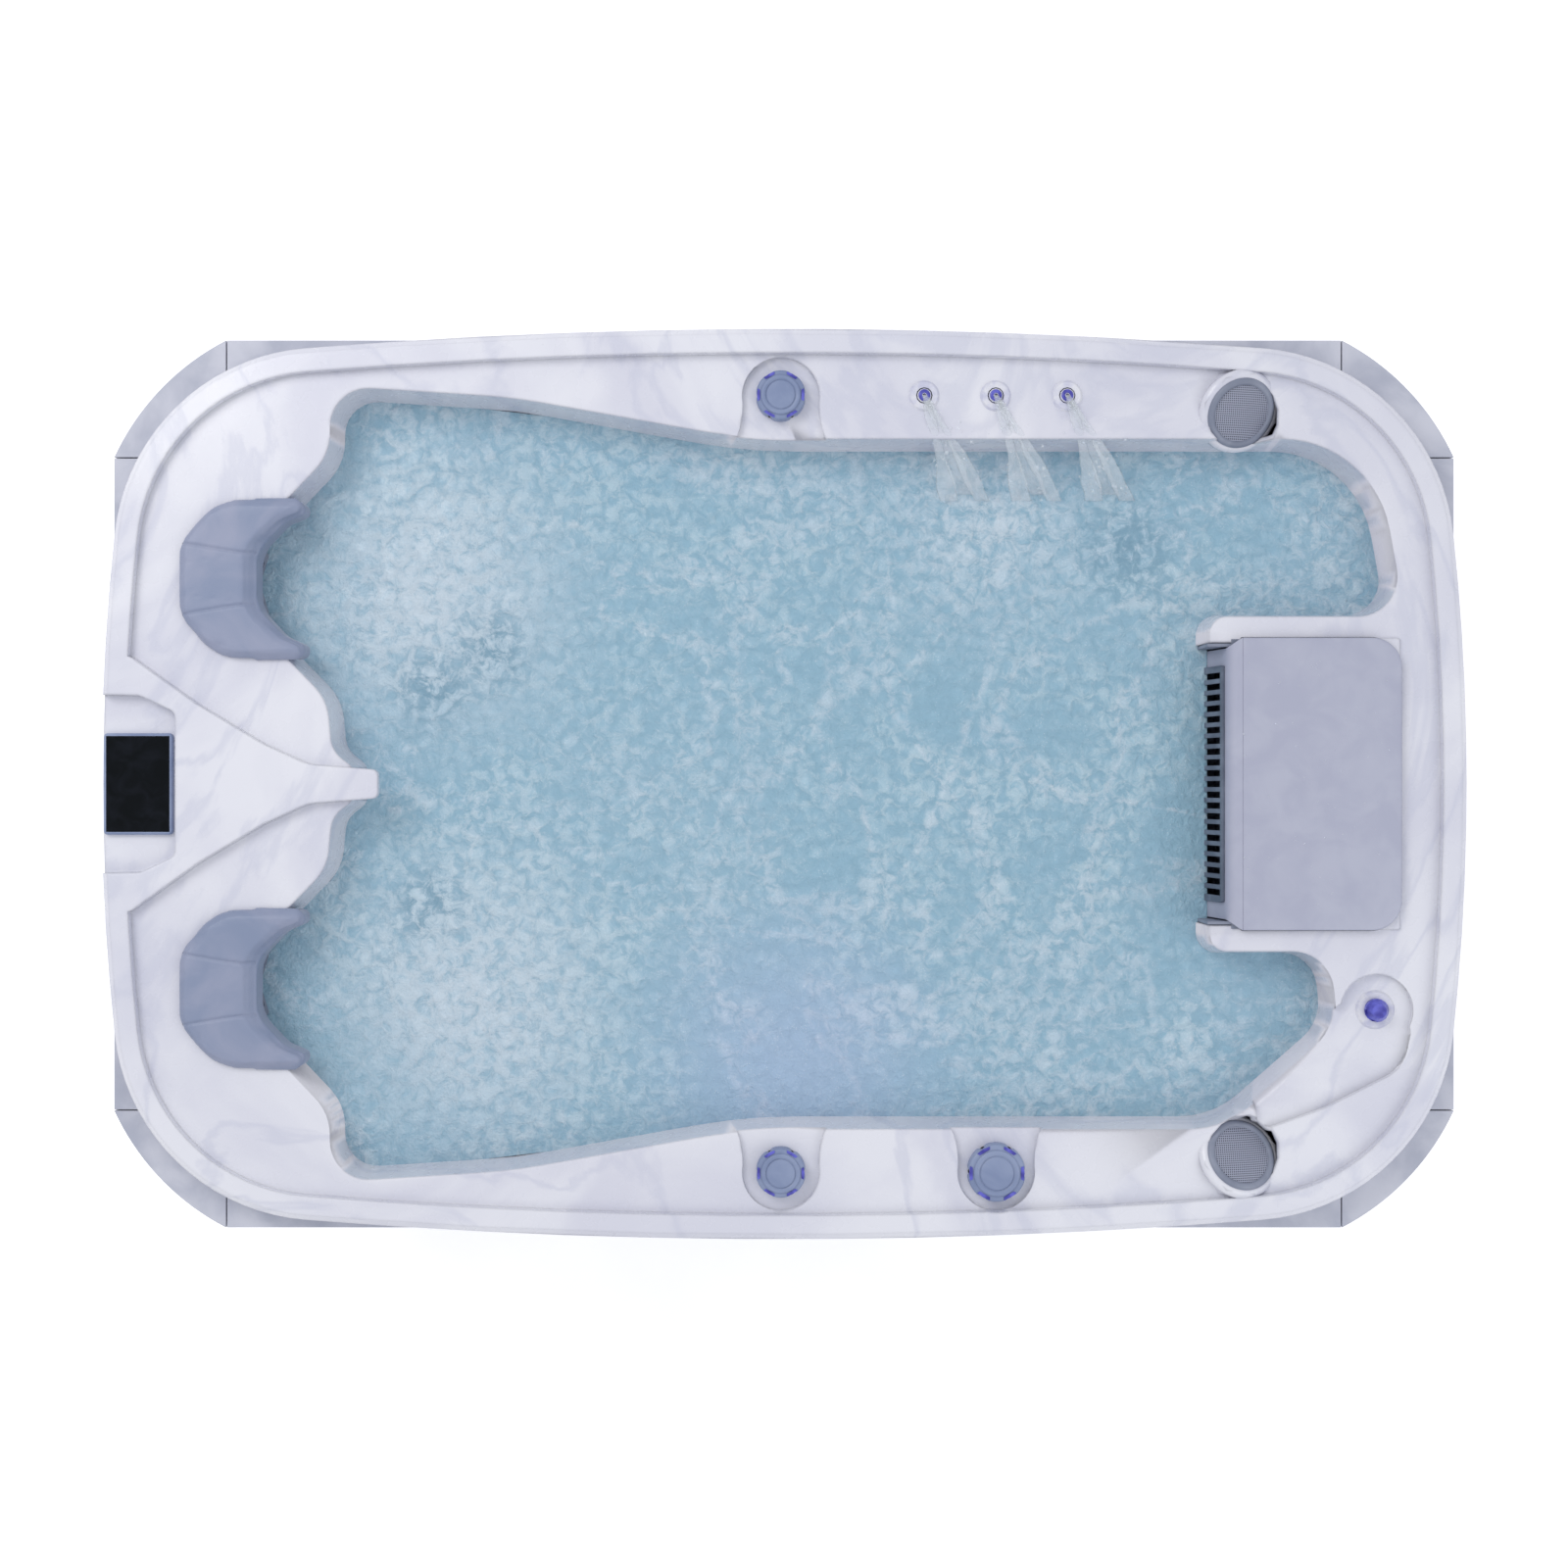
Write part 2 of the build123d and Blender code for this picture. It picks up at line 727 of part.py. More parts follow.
def pillow_outline(side, shrink=0.0):
    """D-shaped pillow with its hollow side round the seat bay, open towards the water."""
    inner = bay_x + 20 + shrink
    outer = inner - pillow_width / 2 - 20
    horn = inner + pillow_width / 2 - 22
    half = pillow_length / 2 - shrink
    corners = [
        (horn, half - 20, 10),
        (horn - 4, half, 12),
        (outer + 60, half + 2, 90),
        (outer, 0.45 * half, 60),
    ]
    hollow = [(inner, 42, 58), (horn - 34, half - 34, 40)]
    upper = hollow + corners
    lower = [(x, -y, r) for x, y, r in upper[::-1]]
    return rounded_region([(x, side * bay_y + y, r) for x, y, r in upper + lower])


with BuildPart() as under_pillow:
    with Locations((bay_x, 0, deck_z)):
        Box(400, rim_width, 3 * pillow_drop, align=(Align.CENTER, Align.CENTER, Align.MAX))
    add(bathing_space, mode=Mode.SUBTRACT)

for label, side in (("pillow_rear", 1), ("pillow_front", -1)):
    with BuildPart() as pillow:
        with BuildSketch(Plane.XY.offset(deck_z + 3)):
            add(pillow_outline(side))
        for rise, lean in PILLOW_BANDS:
            extrude(pillow.faces().sort_by(Axis.Z)[-1] if pillow.part else None, amount=rise, taper=lean)
        with BuildSketch(Plane.XY.offset(deck_z + 3)):
            add(pillow_outline(side, 4))
        extrude(amount=-pillow_drop - 3)
        add(under_pillow.part, mode=Mode.SUBTRACT)
        with BuildSketch(Plane.XY.offset(deck_z + pillow_height - pillow_channel_depth)):
            with Locations((bay_x - 20, side * bay_y)):
                for turn in (-1, 1):
                    with Locations(Location((0, turn * 34), turn * 9)):
                        Rectangle(pillow_width, 3)
        extrude(amount=pillow_height, mode=Mode.SUBTRACT)
    save(pillow, label)


# Clear fittings on the deck: place, level, flange and neck radii, bore radius and depth
spout_floor = deck_z - spout_recess_depth
spout_bore = spout_diameter / 2 - 14
spout_hood = 18
FITTINGS = [
    (x, y, deck_z, fountain_diameter / 2, fountain_diameter / 2 - 6.5, nozzle_diameter / 2 + nozzle_swing, 36)
    for x, y in FOUNTAINS
]
spout_radius = spout_diameter / 2
FITTINGS.append((spout_x, spout_y, spout_floor, spout_radius, spout_radius - 10.5, spout_bore, 40))


def valve_sizes(diameter):
    """Outer radius of a knob, radius of its tube in the deck and radius of its stem."""
    return diameter / 2, diameter / 2 - tube_inset - running, diameter / 5


with BuildPart() as deck_valves:
    for x, y, diameter in KNOBS.values():
        outer, tube, stem = valve_sizes(diameter)
        for level, radius, rise in (
            (well_floor, outer - 3, valve_flange),
            (well_floor, tube, -valve_length),
        ):
            with BuildSketch(Plane.XY.offset(level)):
                with Locations((x, y)):
                    RegularPolygon(radius, 12)
            extrude(amount=rise)
        with BuildSketch(Plane.XY.offset(well_floor - valve_length)):
            with Locations((x, y)):
                    Rectangle(2 * tube + 24, 2 * tube - 6)
        extrude(amount=30)
        with BuildSketch(Plane.XY.offset(well_floor + valve_flange)):
            with Locations((x, y)):
                RegularPolygon(stem + slack, 12)
        extrude(amount=-stem_length - valve_flange - 2, mode=Mode.SUBTRACT)
save(deck_valves, "deck_valves")

for label, (x, y, diameter) in KNOBS.items():
    outer, tube, stem = valve_sizes(diameter)
    foot = well_floor + valve_flange + running
    with BuildPart() as knob:
        with BuildSketch(Plane.XY.offset(foot)):
            with Locations((x, y)):
                RegularPolygon(outer, 24)
        extrude(amount=knob_height)
        chamfer(knob.faces().sort_by(Axis.Z)[-1].edges(), 2)
        with BuildSketch(Plane.XY.offset(foot)):
            with Locations((x, y)):
                with PolarLocations(outer + 2, knob_slots):
                    Rectangle(16, 0.45 * outer)
        extrude(amount=knob_height, mode=Mode.SUBTRACT)
        with BuildSketch(Plane.XY.offset(foot + knob_height)):
            with Locations((x, y)):
                RegularPolygon(0.66 * outer, 24)
                RegularPolygon(0.58 * outer, 24, mode=Mode.SUBTRACT)
        extrude(amount=-2, mode=Mode.SUBTRACT)
        with BuildSketch(Plane.XY.offset(foot)):
            with Locations((x, y)):
                RegularPolygon(stem, 12)
        extrude(amount=-stem_length - valve_flange)
    save(knob, label)

with BuildPart() as deck_fittings:
    for x, y, level, radius, neck, bore, length in FITTINGS:
        with BuildSketch(Plane.XY.offset(level)):
            with Locations((x, y)):
                RegularPolygon(radius, 24)
        extrude(amount=4, taper=40)
        with BuildSketch(Plane.XY.offset(level)):
            with Locations((x, y)):
                RegularPolygon(neck, 12)
        extrude(amount=-length)
        with BuildSketch(Plane.XY.offset(level + 4)):
            with Locations((x, y)):
                RegularPolygon(bore, 12)
        extrude(amount=-length / 2 - 8, mode=Mode.SUBTRACT)
save(deck_fittings, "deck_fittings")

for i, (x, y) in enumerate(FOUNTAINS):
    radius = nozzle_diameter / 2
    with BuildPart() as nozzle:
        with BuildSketch(Plane.XY.offset(deck_z - 9)):
            with Locations((x, y)):
                RegularPolygon(radius, 12)
        extrude(amount=16)
        chamfer(nozzle.faces().filter_by(Axis.Z).edges(), 3)
        with BuildSketch(Plane.XY.offset(deck_z + 7)):
            with Locations((x, y)):
                RegularPolygon(3, 8)
        extrude(amount=-7, mode=Mode.SUBTRACT)
    save(nozzle, f"fountain_nozzle_{i + 1}")

with BuildPart() as spout_nozzle:
    foot = spout_floor + 4 + running
    with BuildSketch(Plane.XY.offset(foot)):
        with Locations((spout_x, spout_y)):
            RegularPolygon(spout_hood, 16)
    extrude(amount=9)
    extrude(spout_nozzle.faces().sort_by(Axis.Z)[-1], amount=13, taper=28)
    with BuildSketch(Plane.XY.offset(foot)):
        with Locations((spout_x, spout_y)):
            RegularPolygon(spout_bore - slack, 12)
    extrude(amount=-24)
    with Locations(Location((spout_x, spout_y, foot + 3), (0, 0, 215))):
        Box(40, 22, 9, align=(Align.MIN, Align.CENTER, Align.MIN), mode=Mode.SUBTRACT)
save(spout_nozzle, "spout_nozzle")

with BuildPart() as speaker_grilles:
    for side in (1, -1):
        face = speaker_plane(side)
        with BuildSketch(face):
            RegularPolygon(speaker_diameter / 2, 24)
        extrude(amount=5)
        with BuildSketch(face.offset(5)):
            RegularPolygon(speaker_diameter / 2 - 10, 16)
        extrude(amount=5, taper=60)
        with BuildSketch(face):
            RegularPolygon(speaker_diameter / 2 - 4, 16)
        extrude(amount=-5)
save(speaker_grilles, "speaker_grilles")

with BuildPart() as speaker_drivers:
    for side in (1, -1):
        for near, far, radius in ((6, 9, speaker_diameter / 2 - 2), (9, 26, 34), (26, 44, 26)):
            with BuildSketch(speaker_plane(side).offset(-near)):
                RegularPolygon(radius, 12)
            extrude(amount=near - far)
save(speaker_drivers, "speaker_drivers")

touch_x = touch_end_inset - half_length
touch_floor = deck_z - 3
with BuildPart() as touch_bezel:
    with BuildSketch(Plane.XY.offset(touch_floor)):
        with Locations((touch_x, 0)):
            RectangleRounded(touch_width + 9, touch_length + 9, 6)
    extrude(amount=9)
    chamfer(touch_bezel.faces().sort_by(Axis.Z)[-1].edges(), 2)
    with BuildSketch(Plane.XY.offset(touch_floor + 9)):
        with Locations((touch_x, 0)):
            Rectangle(touch_width + 0.4, touch_length + 0.4)
    extrude(amount=-4, mode=Mode.SUBTRACT)
save(touch_bezel, "touch_bezel")

with BuildPart() as touch_glass:
    with BuildSketch(Plane.XY.offset(touch_floor + 5)):
        with Locations((touch_x, 0)):
            Rectangle(touch_width, touch_length)
    extrude(amount=4.4)
save(touch_glass, "touch_glass")

housing_x = platform_x - 5
housing_bottom = throat_sill - 60
filter_y = filter_diameter / 2 + 20
filter_x = (housing_x + housing_end) / 2 + 22
with BuildPart() as filter_housing:
    with BuildSketch(Plane.XY.offset(housing_bottom)):
        with Locations((housing_x, 0)):
            Rectangle(housing_end - housing_x, 2 * housing_half, align=(Align.MIN, Align.CENTER))
    extrude(amount=flange_top - housing_bottom)
    with BuildSketch(Plane.XY.offset(deck_z)):
        with Locations((platform_x + 32, 0)):
            Rectangle(lid_back - platform_x - 34, lid_length - 4, align=(Align.MIN, Align.CENTER))
    extrude(amount=flange_top - deck_z)
    with BuildSketch(Plane.XY.offset(housing_bottom)):
        with Locations((filter_x, filter_y), (filter_x, -filter_y)):
            RegularPolygon(filter_diameter / 2 + 14, 16)
    extrude(amount=-filter_length + 40)
    with BuildSketch(Plane.XY.offset(housing_bottom + housing_wall)):
        with Locations((housing_x + housing_wall, 0)):
            Rectangle(
                housing_end - housing_x - 2 * housing_wall,
                2 * (housing_half - housing_wall),
                align=(Align.MIN, Align.CENTER),
            )
    extrude(amount=rim_top - housing_bottom, mode=Mode.SUBTRACT)
    with BuildSketch(Plane.XY.offset(housing_bottom + housing_wall)):
        with Locations((filter_x, filter_y), (filter_x, -filter_y)):
            RegularPolygon(filter_diameter / 2 + 14 - housing_wall, 16)
    extrude(amount=-filter_length + 40, mode=Mode.SUBTRACT)
    with BuildSketch(Plane.XY.offset(throat_sill + 8)):
        with Locations((housing_x - 2, 0)):
            Rectangle(housing_wall + 4, 2 * (housing_half - housing_wall), align=(Align.MIN, Align.CENTER))
    extrude(amount=rim_top - throat_sill, mode=Mode.SUBTRACT)
    with Locations(weir_hinge):
        Cylinder(4 + running, 2 * housing_half + 4, rotation=(90, 0, 0), mode=Mode.SUBTRACT)
save(filter_housing, "filter_housing")

with BuildPart() as weir_door:
    door_half = housing_half - housing_wall - slack
    with BuildSketch(Plane.XZ):
        with BuildLine():
            Polyline(
                (weir_hinge[0] - 4, weir_hinge[2]),
                (weir_hinge[0] - 2.5, weir_hinge[2] + weir_height),
                (weir_hinge[0] + 9, weir_hinge[2] + weir_height),
                (weir_hinge[0] + 9, weir_hinge[2] + weir_height - 18),
                (weir_hinge[0] + 2.5, weir_hinge[2] + weir_height - 26),
                (weir_hinge[0] + 4, weir_hinge[2]),
                close=True,
            )
        make_face()
    extrude(amount=door_half, both=True)
    with Locations(weir_hinge):
        Cylinder(4, 2 * housing_half - 1, rotation=(90, 0, 0))
save(weir_door, "weir_door")

for label, side in (("filter_cartridge_rear", 1), ("filter_cartridge_front", -1)):
    base = housing_bottom + housing_wall + 40 - filter_length
    pleat_reach = filter_diameter / 2 - 4
    with BuildPart() as cartridge:
        with BuildSketch(Plane.XY.offset(base + 10)):
            with BuildLine():
                Polyline(
                    [
                        (filter_x + r * cos(a), side * filter_y + r * sin(a))
                        for a, r in pleat_points(pleat_reach, pleat_reach - 18, filter_pleats)
                    ],
                    close=True,
                )
            make_face()
            with Locations((filter_x, side * filter_y)):
                RegularPolygon(26, 12, mode=Mode.SUBTRACT)
        extrude(amount=filter_length - 20)
        for level in (base, base + filter_length - 10):
            with BuildSketch(Plane.XY.offset(level)):
                with Locations((filter_x, side * filter_y)):
                    RegularPolygon(filter_diameter / 2, 24)
                    RegularPolygon(26, 12, mode=Mode.SUBTRACT)
            extrude(amount=10)
    save(cartridge, label)

with BuildPart() as filter_lid:
    with BuildSketch(Plane.XZ):
        with BuildLine():
            Polyline(
                (lid_back, flange_top),
                (lid_back, flange_top + lid_thickness - 4),
                (lid_back - 5, flange_top + lid_thickness - 1),
                (lid_front, flange_top + lid_thickness),
                (lid_front, flange_top),
                close=True,
            )
        make_face()
    extrude(amount=lid_length / 2, both=True)
    fillet(filter_lid.edges().filter_by(Axis.Z).group_by(Axis.X)[-1], 30)
    with BuildSketch(Plane.XZ):
        with BuildLine():
            Polyline(
                (lid_front, flange_top + lid_thickness),
                (lid_front - 14, flange_top + lid_thickness - 2),
                (lid_front - 23, deck_z + 2),
                (apron_foot, flange_top - apron_drop),
                (apron_foot + 5, flange_top - apron_drop),
                (lid_front - 17, deck_z - 2),
                (lid_front, flange_top),
                close=True,
            )
        make_face()
    extrude(amount=apron_length / 2, both=True)
    with BuildSketch(grille_plane):
        RectangleRounded(grille_pitch * grille_slots + 14, grille_height + 8, 4)
    extrude(amount=20, both=True, mode=Mode.SUBTRACT)
save(filter_lid, "filter_lid")

with BuildPart() as skimmer_grille:
    with BuildSketch(grille_plane):
        RectangleRounded(grille_pitch * grille_slots + 13.4, grille_height + 7.4, 4)
        with GridLocations(grille_pitch, 1, grille_slots, 1):
            Rectangle(grille_pitch - 7, grille_height - 6, mode=Mode.SUBTRACT)
    extrude(amount=5)
save(skimmer_grille, "skimmer_grille")

with BuildPart() as jet_bodies:
    for plane in turning_jets(jet_pad).values():
        with BuildSketch(plane):
            RegularPolygon(jet_diameter / 2 + 2, 12)
        extrude(amount=3)
        with BuildSketch(plane):
            RegularPolygon(jet_diameter / 2 - 6, 8)
        extrude(amount=-jet_body_length)
        with BuildSketch(plane.offset(3)):
            RegularPolygon(jet_diameter / 4 + 2 * slack, 8)
        extrude(amount=-27, mode=Mode.SUBTRACT)
    for plane in neck_jets():
        with BuildSketch(plane.offset(neck_jet_proud)):
            RegularPolygon(neck_jet_diameter / 2 - 5, 8)
        extrude(amount=-jet_body_length / 2)
        with BuildSketch(plane.offset(neck_jet_proud)):
            RegularPolygon(neck_jet_diameter / 2, 12)
            RegularPolygon(5, 6, mode=Mode.SUBTRACT)
        extrude(amount=4)
save(jet_bodies, "jet_bodies")

for name, plane in turning_jets(jet_pad).items():
    with BuildPart() as face:
        with BuildSketch(plane.offset(3 + slack)):
            RegularPolygon(jet_diameter / 2 - 1, 12)
        extrude(amount=8)
        chamfer(face.faces().sort_by(Axis(plane.origin, plane.z_dir))[-1].edges(), 2.5)
        with BuildSketch(plane.offset(3 + slack + 8)):
            with PolarLocations(jet_diameter / 2 - 3, 3):
                RegularPolygon(7, 4)
        extrude(amount=-5, mode=Mode.SUBTRACT)
        with BuildSketch(plane.offset(3 + slack + 8)):
            RegularPolygon(6, 6)
        extrude(amount=-12, mode=Mode.SUBTRACT)
        with BuildSketch(plane.offset(3 + slack)):
            RegularPolygon(jet_diameter / 4, 6)
        extrude(amount=-18)
    save(face, f"jet_face_{name}")

with BuildPart() as suction_covers:
    for plane, diameter in wall_fittings()[:2]:
        with BuildSketch(plane):
            RegularPolygon(diameter / 2, 16)
        extrude(amount=5)
        with BuildSketch(plane):
            RegularPolygon(diameter / 2 - 8, 16)
            with PolarLocations(diameter / 2 - 22, 6):
                Rectangle(18, 7, mode=Mode.SUBTRACT)
        extrude(amount=14)
        with BuildSketch(plane):
            RegularPolygon(diameter / 2 - 9, 16)
        extrude(amount=-30)
save(suction_covers, "suction_covers")

with BuildPart() as footwell_light:
    plane, diameter = wall_fittings()[2]
    with BuildSketch(plane):
        RegularPolygon(diameter / 2, 24)
    extrude(amount=8, taper=45)
    with BuildSketch(plane):
        RegularPolygon(diameter / 2 - 9, 16)
    extrude(amount=-40)
save(footwell_light, "footwell_light")

with BuildPart() as floor_blocks:
    with BuildSketch(Plane.XY.offset(base_floor)):
        with Locations((footwell_start - half_length + footwell_length / 2, 0)):
            with GridLocations(footwell_length - 320, footwell_width - 300, 2, 2):
                Rectangle(180, 140)
    extrude(amount=floor_z - shell_wall - base_floor)
save(floor_blocks, "floor_blocks")

suction_x = footwell_start - half_length - 60
pump_y = 150
pump_x = suction_x - 72
pump_end = pump_x - 70
motor_end = pump_end - 270
heater_z = seat_z - 75
with BuildPart() as suction_manifold:
    for side in (1, -1):
        with BuildSketch(Plane.YZ.offset(suction_x)):
            with Locations((side * pump_y, fitting_z)):
                RegularPolygon(pipe_radius, 12)
        extrude(amount=61)
    with BuildSketch(Plane.YZ.offset(suction_x)):
        with Locations((pump_y, fitting_z)):
            RegularPolygon(pipe_radius, 12)
    extrude(amount=-60)
    with BuildSketch(Plane.XZ.offset(-pump_y - pipe_radius)):
        with Locations((suction_x, fitting_z)):
            RegularPolygon(pipe_radius + 4, 12)
    extrude(amount=2 * (pump_y + pipe_radius))
save(suction_manifold, "suction_manifold")

with BuildPart() as pump_wet_end:
    with BuildSketch(Plane.YZ.offset(pump_end)):
        with Locations((pump_y, fitting_z)):
            RegularPolygon(pump_radius, 24)
        with Locations((pump_y + pump_radius - pipe_radius, fitting_z + pump_radius / 2)):
            Rectangle(2 * pipe_radius, pump_radius)
    extrude(amount=pump_x - pump_end)
    with BuildSketch(Plane.YZ.offset(pump_x)):
        with Locations((pump_y, fitting_z)):
            RegularPolygon(pump_radius - 30, 12)
    extrude(amount=12)
    with BuildSketch(Plane.XY.offset(base_floor)):
        with Locations(((pump_x + pump_end) / 2, pump_y)):
            Rectangle(50, 120)
    extrude(amount=fitting_z - pump_radius - base_floor + 20)
save(pump_wet_end, "pump_wet_end")

with BuildPart() as pump_motor:
    with BuildSketch(Plane.YZ.offset(motor_end)):
        with Locations((pump_y, fitting_z)):
            RegularPolygon(motor_radius, 24)
            with PolarLocations(motor_radius, 8):
                Rectangle(10, 5)
    extrude(amount=pump_end - motor_end)
    with BuildSketch(Plane.YZ.offset(motor_end)):
        with Locations((pump_y, fitting_z)):
            RegularPolygon(motor_radius - 12, 16)
    extrude(amount=-14)
    with Locations(((motor_end + pump_end) / 2, pump_y, base_floor)):
        Box(160, 130, fitting_z - motor_radius + 10, align=standing)
    with Locations(((motor_end + pump_end) / 2, pump_y, fitting_z + motor_radius - 10)):
        Box(140, 60, 45, align=standing)
save(pump_motor, "pump_motor")

outlet_y = pump_y + pump_radius - pipe_radius
outlet_x = (pump_x + pump_end) / 2
heater_start = outlet_x - 110
heater_end = heater_start - heater_length
with BuildPart() as discharge_pipe:
    with BuildLine() as route:
        Polyline(
            (outlet_x, outlet_y, fitting_z + pump_radius),
            (outlet_x, outlet_y, heater_z),
            (heater_start, outlet_y, heater_z),
        )
    with BuildSketch(Plane.XY.offset(fitting_z + pump_radius)):
        with Locations((outlet_x, outlet_y)):
            RegularPolygon(pipe_radius, 12)
    sweep(path=route.wire(), transition=Transition.RIGHT)
save(discharge_pipe, "discharge_pipe")

with BuildPart() as heater:
    with BuildSketch(Plane.YZ.offset(heater_end)):
        with Locations((outlet_y, heater_z)):
            RegularPolygon(heater_radius, 16)
    extrude(amount=heater_length)
    for x in (heater_end, heater_start - 20):
        with BuildSketch(Plane.YZ.offset(x)):
            with Locations((outlet_y, heater_z)):
                RegularPolygon(heater_radius + 10, 8)
        extrude(amount=20)
save(heater, "heater")

manifold_x = bay_x - 104
with BuildPart() as return_pipe:
    with BuildLine() as route:
        Polyline(
            (heater_end, outlet_y, heater_z),
            (manifold_x, outlet_y, heater_z),
            (manifold_x, outlet_y, manifold_z - manifold_radius - slack),
        )
    with BuildSketch(Plane.YZ.offset(heater_end)):
        with Locations((outlet_y, heater_z)):
            RegularPolygon(pipe_radius, 12)
    sweep(path=route.wire(), transition=Transition.RIGHT)
save(return_pipe, "return_pipe")

with BuildPart() as return_manifold:
    with BuildSketch(Plane.XZ.offset(-manifold_length / 2)):
        with Locations((manifold_x, manifold_z)):
            RegularPolygon(manifold_radius, 12, major_radius=False)
    extrude(amount=manifold_length)
save(return_manifold, "return_manifold")

with BuildPart() as control_box:
    with Locations((bay_x - 50, -pump_y - 180, base_floor)):
        Box(130, 300, 220, align=standing)
    fillet(control_box.edges().filter_by(Axis.Z), 8)
    with BuildSketch(Plane.YZ.offset(bay_x - 115)):
        with Locations((-pump_y - 180, base_floor + 110)):
            Rectangle(270, 190)
    extrude(amount=-8)
save(control_box, "control_box")

with BuildPart() as air_blower:
    for level, radius, rise in ((base_floor, blower_radius, 190), (base_floor + 190, pipe_radius, 70)):
        with BuildSketch(Plane.XY.offset(level)):
            with Locations((motor_end + 120, -pump_y - 170)):
                RegularPolygon(radius, 16)
        extrude(amount=rise)
save(air_blower, "air_blower")

with BuildPart() as drain_outlet:
    with BuildSketch(drain_axis):
        Circle(drain_radius)
    extrude(amount=-22)
    with BuildSketch(drain_axis.offset(-22)):
        RegularPolygon(21, 6)
    extrude(amount=-14)
    with BuildSketch(drain_axis.offset(-36)):
        RegularPolygon(drain_radius, 12)
    extrude(amount=-cabinet_length / 4)
    with BuildSketch(drain_axis):
        Circle(8)
    extrude(amount=-30, mode=Mode.SUBTRACT)
save(drain_outlet, "drain_outlet")

with BuildPart() as cable_gland:
    with BuildSketch(gland_axis):
        RegularPolygon(24, 6)
    extrude(amount=4)
    with BuildSketch(gland_axis):
        Circle(gland_hole - running)
    extrude(amount=-30)
    with BuildSketch(gland_axis.offset(4)):
        Circle(gland_bore)
    extrude(amount=-34, mode=Mode.SUBTRACT)
save(cable_gland, "cable_gland")
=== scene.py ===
"""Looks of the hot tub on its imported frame: running water, foam pillows, lit fittings and materials.

Metres, +Z up, in the frame's own coordinates. The camera looks straight down, as the photograph does."""

import json
import random
from math import atan2, cos, exp, hypot, pi, radians, sin, tan

import bmesh
import bpy
import numpy as np
from mathutils import Matrix, Vector, noise


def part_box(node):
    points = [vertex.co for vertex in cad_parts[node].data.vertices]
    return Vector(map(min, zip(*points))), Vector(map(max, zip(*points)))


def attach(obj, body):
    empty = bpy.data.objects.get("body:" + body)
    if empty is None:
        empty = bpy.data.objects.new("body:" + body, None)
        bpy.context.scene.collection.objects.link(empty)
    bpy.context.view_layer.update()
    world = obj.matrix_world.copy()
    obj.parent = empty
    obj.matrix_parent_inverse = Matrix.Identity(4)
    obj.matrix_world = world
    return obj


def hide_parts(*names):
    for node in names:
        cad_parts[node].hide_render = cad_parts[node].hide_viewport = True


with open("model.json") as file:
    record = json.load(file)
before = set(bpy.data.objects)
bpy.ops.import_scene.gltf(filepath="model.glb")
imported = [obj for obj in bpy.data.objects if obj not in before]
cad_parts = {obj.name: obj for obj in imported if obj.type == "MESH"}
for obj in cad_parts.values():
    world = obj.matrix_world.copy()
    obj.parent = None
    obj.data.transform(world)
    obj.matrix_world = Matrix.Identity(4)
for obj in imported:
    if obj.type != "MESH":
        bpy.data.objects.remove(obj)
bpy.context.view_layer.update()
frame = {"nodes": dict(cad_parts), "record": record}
scene = bpy.context.scene
chance = random.Random(11)

# Places that the frame gives: the lid lies level with the rim
LID_LOW, LID_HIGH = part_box("filter_lid")
GRILLE_LOW, GRILLE_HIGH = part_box("skimmer_grille")
RIM_TOP = LID_HIGH.z
DECK = RIM_TOP - 0.015
WATER = RIM_TOP - 0.09
NOZZLES = ["fountain_nozzle_1", "fountain_nozzle_2", "fountain_nozzle_3"]
NOZZLE_TIPS = [(sum(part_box(node), Vector()) / 2).xy for node in NOZZLES]
KNOBS = ["air_knob_rear", "air_knob_front", "diverter_knob"]
SIDES = {"rear": 1, "front": -1}

# Real sizes, in metres
CAMERA_HEIGHT = 3.2
FRAME_WIDTH = 2.405
SENSOR = 36.0
SPEAKER_X = 0.705
SPEAKER_Y = 0.573
SPEAKER_RADIUS = 0.0525
SPEAKER_TILT = radians(28)
SPEAKER_TURN = radians(60)
WALL_LEAN = tan(radians(6))
SEAT_JETS = [(-0.56, 0.30), (-0.50, -0.345)]
MOUTH_HALF = 0.2235
MOUTH_DEPTH = 0.018
EDGE_LIFT = 0.005
EDGE_ROUND = 0.0022
WATER_GRID = 0.007
LID_FOLD = 0.703
LID_HALF = 0.225
LID_BACK = LID_HIGH.x
LID_CORNER = 0.046
KNOB_NOTCHES = 6
FOAM_VOXEL = 0.004
FOAM_PRESSURE = 4
FOAM_FRAMES = 20
SEAM_DEPTH = 0.0028
ARC_RISE = 0.1
ARC_REACH = (0.07, -0.142)
STRANDS = 3
SPRAY_DROPS = 26
LID_DROPS = 90


def linear(red, green, blue):
    """Linear colour from an sRGB colour in whole numbers."""
    values = [c / 255 for c in (red, green, blue)]
    return tuple(c / 12.92 if c <= 0.04045 else ((c + 0.055) / 1.055) ** 2.4 for c in values) + (1.0,)


